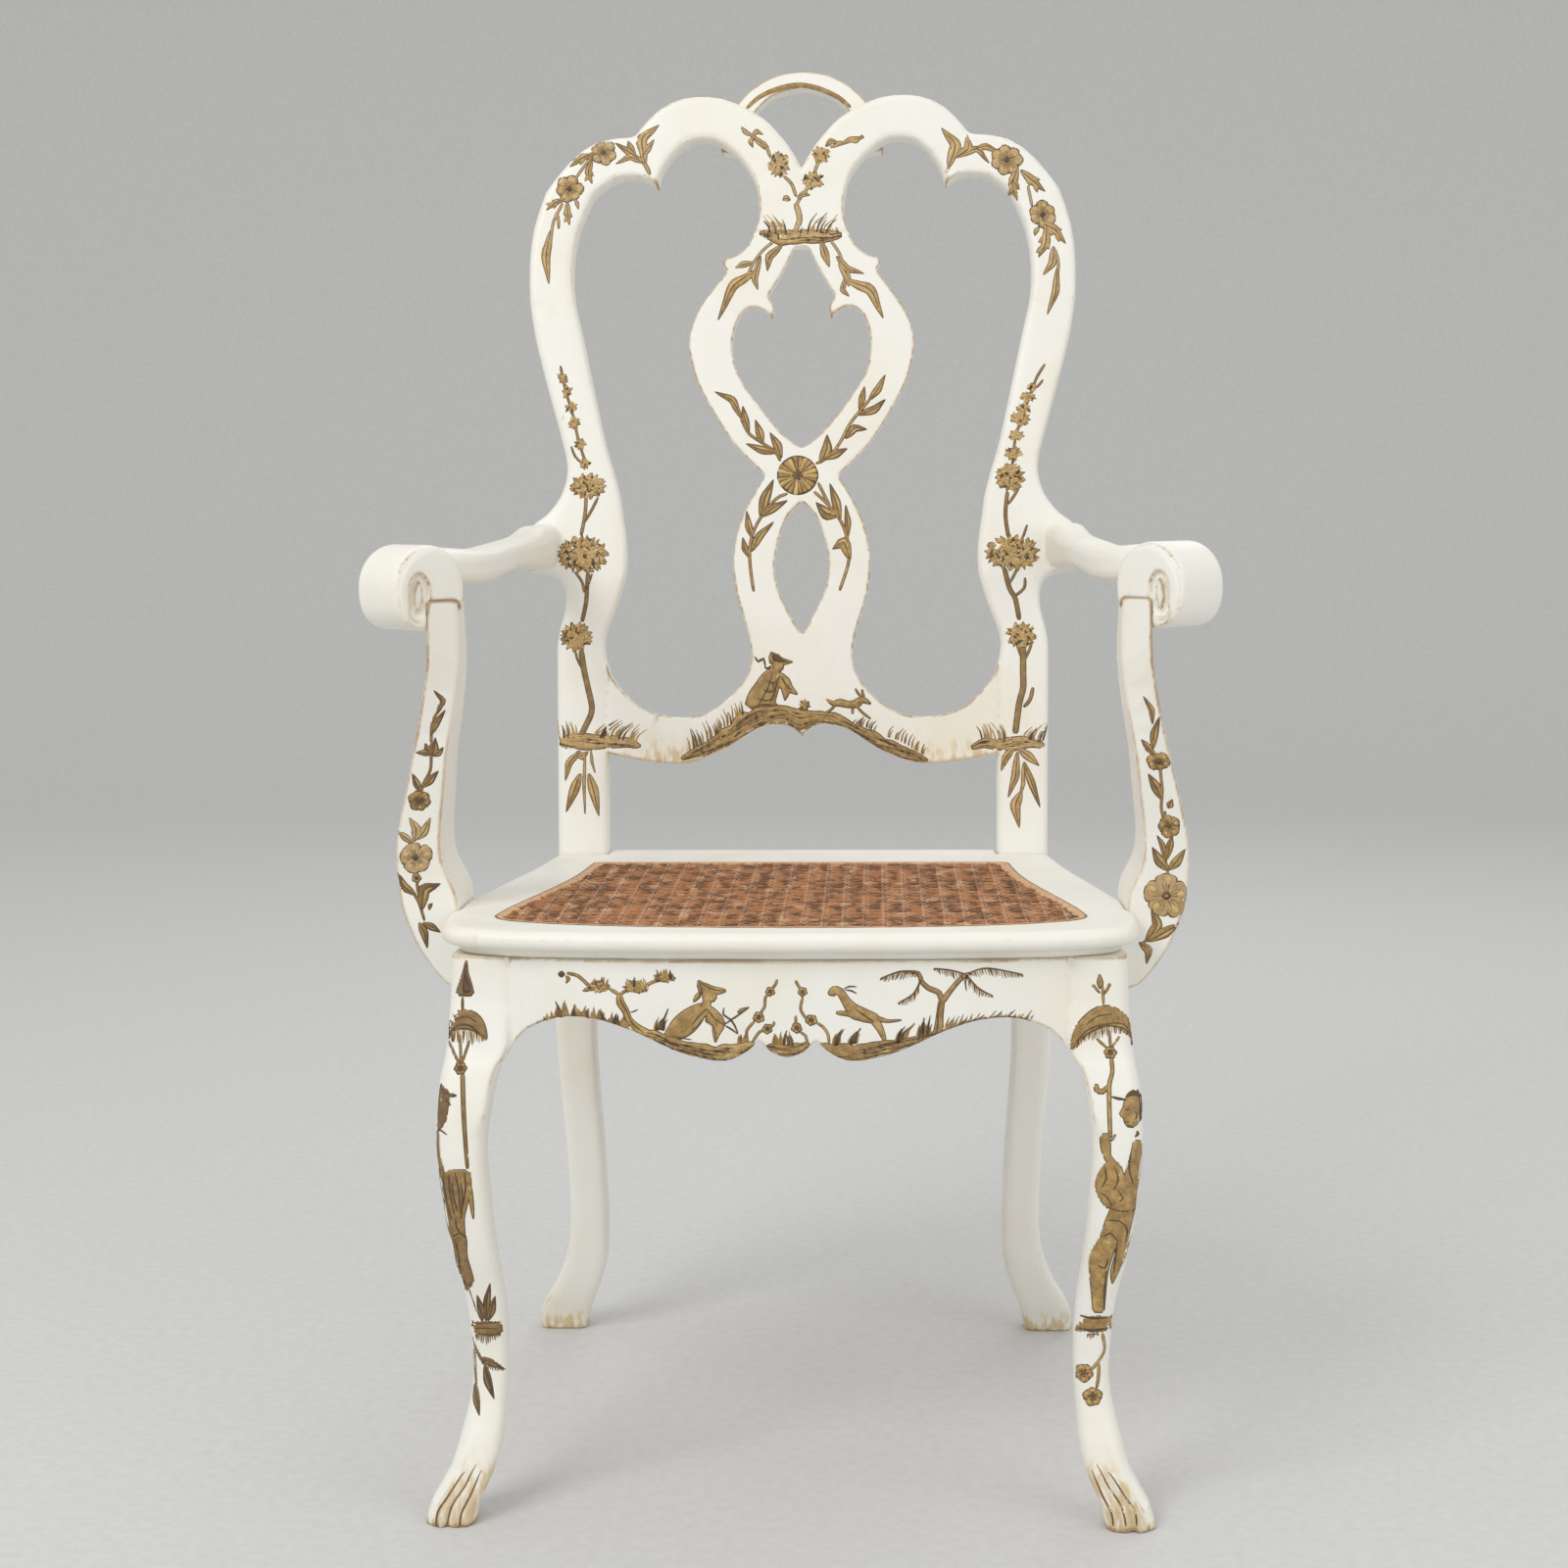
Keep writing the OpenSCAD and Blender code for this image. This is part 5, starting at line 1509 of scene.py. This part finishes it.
def gild_legs(art):
    """Dark grooves of the hooves, and a parasol over a robed figure on each leg."""
    art.tint(0.75, 0.95)
    for groove in HOOF_GROOVES:
        run = [(x, y, 0.4 + 1.5 * deep) for x, y, deep in groove]
        art.stroke(run, "gilt", 0, 1)
        art.stroke([(MIRROR - x, y, w) for x, y, w in run], "gilt", 0, 1)

    # left leg: parasol, robed bystander and hanging sprigs
    art.tint(0.6, 1.0)
    art.forms([(475.8, 981, 1.5), (475, 992, 5), (474.7, 1004, 13), (474.5, 1016, 19)], cells=3)
    art.stroke([(475.8, 983, 1), (475, 994, 3), (476, 1006, 8), (477, 1013, 10)], "vein")
    art.stems([(472, 1018), (472, 1031)])
    art.tint(0.4, 0.65)
    art.forms([
        (455, 1062, 4), (460, 1048, 13), (470, 1040, 19), (482, 1042, 18), (490, 1050, 12),
        (496, 1060, 3),
    ], cells=4)
    art.dark(
        [(458, 1056), (466, 1047), (478, 1046), (491, 1056)],
        [(464, 1041), (476, 1037), (486, 1043)], width=2.2,
    )
    art.tint(-0.5, 0.2)
    art.fringe([(461, 1052), (472, 1050), (484, 1052), (496, 1058)], 15)
    art.tint(0.4, 0.65)
    art.stems(
        [(458, 1062), (464, 1076), (469, 1086)], [(469, 1056), (470, 1070), (470, 1084)],
        [(479, 1062), (475, 1074), (471, 1085)],
    )
    art.flower(470, 1090, 6, 6)
    art.forms([(472, 1096, 3.5), (473, 1133, 3.5), (475, 1167, 3), (477, 1192, 2.4)], extra=0.8)
    art.tint(0.55, 0.9)
    art.forms([
        (448, 1106, 2), (452, 1117, 13), (451, 1130, 12), (450, 1144, 9), (448, 1153, 3),
    ], cells=3)
    art.forms([(448, 1112, 5), (457, 1117, 5), (465, 1118, 1.5)])
    art.dark(
        [(449, 1108), (455, 1115), (465, 1118)], [(447, 1152), (451, 1154), (456, 1158)],
        [(455, 1120), (457, 1124), (460, 1128)], width=1.8,
    )
    art.forms([
        (446.5, 1154, 3), (446.5, 1178, 5), (449, 1194, 7), (452, 1215, 8), (456, 1240, 8),
        (461, 1270, 8), (466, 1300, 8), (469, 1322, 2),
    ], extra=0.8)
    art.tint(0.25, 0.4)
    art.forms([
        (466, 1194, 27), (466, 1212, 29), (466, 1228, 22), (466, 1242, 16), (468, 1254, 12),
        (469, 1263, 11),
    ], cells=5, step=3.0)
    art.dark(
        [(458, 1198), (459, 1215), (464, 1240)], [(464, 1196), (468, 1214), (470, 1238)],
        [(474, 1197), (475, 1212), (472, 1232)], [(452, 1200), (455, 1222), (461, 1244)],
        [(463, 1262), (469, 1258), (476, 1263)], [(461, 1206), (463, 1222), (467, 1236)],
        [(470, 1206), (472, 1224), (470, 1244)], [(465, 1244), (466, 1252), (470, 1258)], width=2,
    )
    art.forms([(479, 1211, 4), (481, 1226, 3.6), (483, 1243, 1)])
    art.tint(0.5, 0.8)
    art.forms([
        (470, 1258, 8), (470, 1266, 12), (471, 1282, 11), (474, 1297, 13), (477, 1308, 12),
        (476, 1315, 6),
    ], cells=3)
    art.dark(
        [(466, 1268), (468, 1284), (470, 1300)], [(470, 1308), (476, 1313), (482, 1309)],
        [(473, 1316), (475, 1332), (478, 1347)], width=2.4,
    )
    art.leaves(
        (492, 1347, 491, 1337, 487, 1322, 9), (496, 1347, 497, 1327, 500, 1310, 8),
        (498, 1347, 502, 1336, 505, 1323, 9),
    )
    art.forms([(478, 1352, 8), (490, 1355, 13), (502, 1356, 14), (512, 1355, 12)], cells=3)
    art.dark([(479, 1349), (492, 1350), (511, 1349)], [(484, 1356), (494, 1355), (508, 1356)])
    art.fringe([(486, 1361), (498, 1363), (510, 1361)], 9)
    art.stems(
        [(480, 1362), (485, 1374), (491, 1387), (497, 1396)],
        [(484, 1376), (485, 1395), (486, 1412)],
    )
    art.leaves(
        (490, 1385, 502, 1391, 515, 1397, 8), (495, 1393, 498, 1410, 504, 1427, 9),
        (485, 1412, 486, 1428, 489, 1444, 8),
    )
    art.fringe([(493, 1388), (503, 1393), (513, 1397)], 6)
    art.fringe([(496, 1396), (500, 1410), (503, 1422)], 6)

    # right leg: parasol, robed bearer on a low stand and two blossoms
    art.tint(0, 0.3)
    art.forms([(1122, 995, 1), (1122.5, 1002, 5.5), (1123, 1008, 3)])
    art.stems(
        [(1116, 1006), (1122, 1013)], [(1132.5, 1005), (1127, 1014)], [(1125, 1007), (1126, 1024)],
    )
    art.dot(1116, 1006, 2)
    art.dot(1132, 1005, 2)
    art.forms([
        (1094, 1070, 4), (1101, 1055, 13), (1113, 1043, 18), (1127, 1036, 20), (1141, 1040, 17),
        (1152, 1050, 11), (1160, 1065, 3),
    ], cells=4)
    art.dark(
        [(1098, 1063), (1110, 1051), (1128, 1045), (1146, 1045), (1157, 1058)],
        [(1108, 1046), (1120, 1037), (1134, 1035)],
    )
    art.fringe([
        (1096, 1066), (1106, 1057), (1118, 1051), (1132, 1047), (1146, 1049), (1155, 1057),
    ], 10)
    art.stems(
        [(1119, 1060), (1129, 1069)], [(1132, 1052), (1133, 1068)], [(1142, 1058), (1135, 1068)],
    )
    art.flower(1133, 1074, 5.5, 6)
    art.forms([
        (1134, 1080, 3), (1135, 1094, 3), (1132, 1107, 3.4), (1132, 1132, 3.4), (1133, 1160, 3),
    ], extra=0.8)
    art.forms([(1131, 1108, 3), (1125, 1114, 4.5), (1119, 1112, 4.5), (1119, 1107, 4)])
    art.forms([(1157, 1117, 14), (1156, 1128, 19), (1155, 1140, 18), (1154, 1150, 10)], cells=3)
    art.forms([(1150, 1129, 5), (1144, 1137, 3), (1147, 1140, 1)])
    art.stroke([
        (1149, 1119, 3), (1156, 1115, 6), (1164, 1117, 7), (1165, 1131, 5), (1163, 1144, 2),
    ], "vein")
    art.dark(
        [(1148, 1133), (1151, 1132), (1153, 1133)], [(1147, 1144), (1150, 1145), (1152, 1144)],
        [(1158, 1134), (1160, 1138), (1158, 1142)], width=1.2,
    )
    art.dark(
        [(1134, 1119), (1141, 1121), (1149, 1122)], [(1160, 1154), (1161, 1157), (1158, 1160)],
        width=3,
    )
    art.forms([
        (1127, 1157, 8), (1128, 1168, 10), (1130, 1180, 7), (1136, 1189, 8), (1140, 1198, 12),
    ])
    art.stems([(1138, 1158), (1134, 1164)], width=2.4)
    art.forms([(1136, 1186, 14), (1134, 1198, 26), (1133, 1210, 30)], cells=4)
    art.forms(
        [(1161, 1164, 8), (1159, 1182, 12), (1155, 1202, 16), (1152, 1212, 18)],
        [(1130, 1194, 12), (1124, 1206, 13), (1127, 1218, 14), (1137, 1229, 16)], cells=3,
    )
    art.forms([
        (1141, 1206, 40), (1145, 1218, 36), (1147, 1228, 29), (1146, 1237, 27), (1142, 1250, 29),
        (1138, 1264, 30), (1136, 1274, 26),
    ], cells=5, step=3.0)
    art.dark(
        [(1122, 1216), (1130, 1222), (1134, 1230)], [(1140, 1214), (1146, 1222), (1142, 1226)],
        [(1133, 1233), (1146, 1236), (1159, 1234)],
        [(1130, 1245), (1142, 1246), (1150, 1254), (1148, 1268)],
        [(1126, 1262), (1133, 1258), (1140, 1266)], [(1127, 1190), (1129, 1202), (1124, 1212)],
        [(1138, 1192), (1141, 1204), (1136, 1214)], [(1154, 1176), (1152, 1192), (1156, 1208)],
        width=1.7,
    )
    art.forms([
        (1131, 1266, 18), (1123, 1283, 22), (1121, 1300, 18), (1121, 1320, 14), (1121, 1339, 11),
    ], cells=4)
    art.forms([(1147, 1262, 14), (1143, 1282, 11), (1137, 1298, 7), (1135, 1309, 1)], cells=3)
    art.dark(
        [(1120, 1290), (1127, 1294), (1131, 1284)], [(1129, 1296), (1127, 1316), (1126, 1336)],
        [(1140, 1266), (1138, 1284), (1136, 1300)], width=1.8,
    )
    art.forms([(1098, 1357, 5), (1108, 1352, 13), (1124, 1351, 16), (1138, 1349, 9)], cells=3)
    art.dark(
        [(1102, 1342), (1116, 1345), (1140, 1343)], [(1100, 1355), (1116, 1357), (1136, 1354)],
        width=2.4,
    )
    art.fringe([(1110, 1361), (1116, 1361), (1121, 1361)], 6)
    art.stems(
        [(1125, 1361), (1127, 1377), (1120, 1390), (1113, 1398)],
        [(1121, 1391), (1121, 1404), (1119, 1416)], width=2.4,
    )
    art.flower(1106, 1401, 8.5, 5, 0.2)
    art.flower(1115, 1425, 9, 5, 0.8)


def gild_supports(art):
    """Sprays of leaves and blossoms up both arm supports, with the upper left sprays darkened as
    painted shade and those below paled as painted sunlight.
    """
    # left support, from the top down
    # upper sprays darker: painted shade
    art.tint(0.3, 0.7)
    art.leaves(
        (446, 728, 452, 715, 443, 705, 6), (440, 749, 445, 738, 454, 725, 8),
        (439, 770, 433, 768, 425, 768, 7), (439, 770, 436, 764, 434, 759, 7),
        (440, 770, 444, 764, 444, 753, 8), (441, 771, 448, 768, 452, 763, 7),
        (431, 803, 439, 796, 447, 787, 9), (429, 808, 425, 799, 421, 790, 8),
        (424, 913, 413, 905, 406, 891, 9), (430, 928, 433, 908, 449, 902, 14),
        (438, 928, 439, 924, 441, 922, 4), (428, 942, 433, 952, 436, 967, 9),
        (432, 942, 441, 946, 449, 951, 8),
    )
    art.stems(
        [(446, 727), (441, 738), (440, 756), (440, 771), (439, 786), (432, 800), (429, 812)],
        [(423, 888), (425, 898), (427, 912)], [(418, 906), (427, 920), (433, 939)],
    )
    art.flower(428, 817, 11, 6, 0.3, 0.85)
    # paler leaves and blossom: painted sunlight
    art.tint(-0.9, -0.4)
    art.leaves(
        (423, 858, 425, 846, 418, 835, 11), (426, 856, 433, 848, 439, 835, 10),
        (421, 860, 413, 854, 405, 848, 8),
    )
    art.flower(424, 875, 16, 5, -0.5)
    art.tint()
    art.flower(425, 896, 4, 5)
    # right support
    art.leaves(
        (1176, 738, 1175, 724, 1167, 711, 6), (1176, 764, 1178, 748, 1183, 732, 9),
        (1178, 770, 1171, 762, 1165, 755, 8), (1185, 815, 1179, 802, 1172, 790, 11),
        (1192, 824, 1194, 821, 1196, 816, 8), (1190, 836, 1188, 832, 1189, 828, 5),
        (1191, 876, 1194, 862, 1196, 853, 8), (1190, 880, 1186, 862, 1181, 853, 6),
        (1192, 888, 1183, 878, 1176, 865, 12), (1193, 887, 1201, 879, 1209, 867, 11),
        (1170, 959, 1181, 944, 1175, 925, 12), (1171, 960, 1190, 951, 1204, 942, 12),
        (1163, 962, 1172, 970, 1170, 983, 9),
    )
    art.stems(
        [(1178, 768), (1183, 780), (1185, 796), (1186, 808), (1185, 824), (1188, 838)],
        [(1192, 888), (1190, 896), (1189, 904)], [(1172, 957), (1167, 962), (1164, 965)],
    )
    art.flower(1182, 777, 12, 6, 0.2, 0.65)
    art.flower(1193, 843, 11, 5, 0.6)
    art.tint(-0.7, -0.2)
    art.flower(1190, 914, 22, 5, 0.9)


def bail_shade_and_wear(art):
    """Brown band along the bail: painted shade of its underside, and wear."""
    # brown band: painted shade of the underside, with wear
    art.tint(0.2, 0.4)
    art.stroke([
        (762, 110.5, 3.4), (775, 99, 4.6), (795, 90.2, 5), (815, 86.8, 5.2), (835, 90.2, 5),
        (855, 99, 4.6), (868, 109.5, 3.4),
    ], cells=4)


def gild(name, draw, seed, *ground):
    """Lays the brushwork that draw gives on the pieces of its ground."""
    art = Brush(*ground, seed=seed)
    draw(art)
    art.dry(name)


class ARMCHAIR_OT_gild_back(bpy.types.Operator):
    """Gilding of the crest, the splat, the stiles and the stay rail"""

    bl_idname = "armchair.gild_back"
    bl_label = "Gilding of the back"

    def execute(self, context):
        gild("gilding_crest", gild_crest, 1, "back_and_arms")
        gild("gilding_splat", gild_splat, 2, "back_and_arms")
        gild("gilding_stiles", gild_stiles, 3, "back_and_arms")
        gild("gilding_stay", gild_stay, 4, "back_and_arms")
        # brown band on the bail: painted shade and wear
        gild("bail_shaded_worn_band", bail_shade_and_wear, 5, "bail")
        return {"FINISHED"}


class ARMCHAIR_OT_gild_front(bpy.types.Operator):
    """Gilding of the apron and the legs"""

    bl_idname = "armchair.gild_front"
    bl_label = "Gilding of the front"

    def execute(self, context):
        gild("gilding_apron", gild_apron, 1, "legs_and_apron")
        gild("gilding_legs", gild_legs, 2, "legs_and_apron")
        return {"FINISHED"}


class ARMCHAIR_OT_gild_supports(bpy.types.Operator):
    """Gilding of the arm supports"""

    bl_idname = "armchair.gild_supports"
    bl_label = "Gilding of the supports"

    def execute(self, context):
        gild("gilding_supports", gild_supports, 1,
             "armrest_support_left", "armrest_support_right")
        return {"FINISHED"}


class ARMCHAIR_OT_stage(bpy.types.Operator):
    """Plain pale floor and backdrop, soft lamps and the camera"""

    bl_idname = "armchair.stage"
    bl_label = "Stage"

    HALF, WALL, COVE = 7, 6, 3  # half width of the floor, wall's height, and bend between them
    GAP = 0.0004  # between the feet and the floor
    # lamps: place, share of the main lamp's power, size
    LAMPS = {
        "key_lamp": ((-1.7, -2.3, 2.9), 1, 1.6),
        "fill_lamp": ((2.4, -2.0, 1.7), 0.35, 2.2),
        "back_lamp": ((0.6, 2.4, 2.6), 0.3, 2.0),
    }
    AIM = (0, 0, 0.6)  # what the lamps point at
    SKY = 0.72  # strength of the light from all round

    def execute(self, context):
        self.floor(context.scene)
        self.camera(context.scene)
        self.light(context.scene)
        context.scene.view_settings.view_transform = "Standard"
        return {"FINISHED"}

    def floor(self, scene):
        bm = bmesh.new()
        bmesh.ops.create_grid(bm, x_segments=1, y_segments=1, size=self.HALF)
        far = [e for e in bm.edges if all(p.co.y > self.HALF - 0.1 for p in e.verts)]
        up = bmesh.ops.extrude_edge_only(bm, edges=far)["geom"]
        raised = [g for g in up if isinstance(g, bmesh.types.BMVert)]
        bmesh.ops.translate(bm, verts=raised, vec=(0, 0, self.WALL))
        corner = [
            e for e in bm.edges
            if all(abs(p.co.y - self.HALF) < 0.1 and p.co.z < 0.1 for p in e.verts)
        ]
        bmesh.ops.bevel(
            bm, geom=corner, affect="EDGES", offset=self.COVE, segments=16, profile=0.5,
            material=-1,
        )
        bmesh.ops.translate(bm, verts=bm.verts[:], vec=(0, 0, -self.GAP))
        mesh = bpy.data.meshes.new("floor")
        bm.to_mesh(mesh)
        bm.free()
        mesh.shade_smooth()
        floor = bpy.data.objects.new("floor", mesh)
        scene.collection.objects.link(floor)
        f = Finish("pale_floor")
        grain = f.ramp(f.noise(0.01, 4), 0.3, 0.7)
        f.finish(f.blend(grain, (0.60, 0.60, 0.59), (0.65, 0.65, 0.64)), 0.9)
        mesh.materials.append(f.material)

    def camera(self, scene):
        eye = bpy.data.objects.new("eye", bpy.data.cameras.new("eye"))
        eye.data.lens = view().focal / PICTURE * SENSOR
        eye.data.sensor_width = SENSOR
        eye.matrix_world = eye_matrix()
        scene.collection.objects.link(eye)
        scene.camera = eye

    def light(self, scene):
        for name, (place, share, size) in self.LAMPS.items():
            lamp = bpy.data.lights.new(name, "AREA")
            lamp.energy, lamp.size = share * view().lamp, size
            stand = bpy.data.objects.new(name, lamp)
            stand.location = place
            stand.visible_camera = False
            aim = Vector(self.AIM) - Vector(place)
            stand.rotation_euler = aim.to_track_quat("-Z", "Y").to_euler()
            scene.collection.objects.link(stand)
        world = bpy.data.worlds.new("soft_sky")
        world.use_nodes = True
        sky = world.node_tree.nodes["Background"]
        sky.inputs["Color"].default_value = (1, 1, 1, 1)
        sky.inputs["Strength"].default_value = self.SKY
        scene.world = world


STEPS = (
    ARMCHAIR_OT_back,
    ARMCHAIR_OT_legs,
    ARMCHAIR_OT_rails,
    ARMCHAIR_OT_rim,
    ARMCHAIR_OT_supports,
    ARMCHAIR_OT_bail,
    ARMCHAIR_OT_fixings,
    ARMCHAIR_OT_cane,
    ARMCHAIR_OT_gild_back,
    ARMCHAIR_OT_gild_front,
    ARMCHAIR_OT_gild_supports,
    ARMCHAIR_OT_stage,
)


class ARMCHAIR_PT_panel(bpy.types.Panel):
    """Settings and steps of the painted armchair"""

    bl_idname = "ARMCHAIR_PT_panel"
    bl_label = "Armchair"
    bl_space_type = "VIEW_3D"
    bl_region_type = "UI"
    bl_category = "Armchair"

    def draw(self, context):
        scene = context.scene
        for group in (scene.armchair_size, scene.armchair_paint, scene.armchair_view):
            box = self.layout.box()
            for name in group.__annotations__:
                box.prop(group, name)
        for step in STEPS:
            self.layout.operator(step.bl_idname)


CLASSES = (PaintSettings, SizeSettings, ViewSettings, *STEPS, ARMCHAIR_PT_panel)


def register():
    for c in CLASSES:
        bpy.utils.register_class(c)
    bpy.types.Scene.armchair_paint = PointerProperty(type=PaintSettings)
    bpy.types.Scene.armchair_size = PointerProperty(type=SizeSettings)
    bpy.types.Scene.armchair_view = PointerProperty(type=ViewSettings)


def unregister():
    for name in ("armchair_paint", "armchair_size", "armchair_view"):
        delattr(bpy.types.Scene, name)
    for c in reversed(CLASSES):
        bpy.utils.unregister_class(c)


def main():
    register()
    for step in STEPS:
        group, name = step.bl_idname.split(".")
        getattr(getattr(bpy.ops, group), name)()
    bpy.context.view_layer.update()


if __name__ == "__main__":
    main()
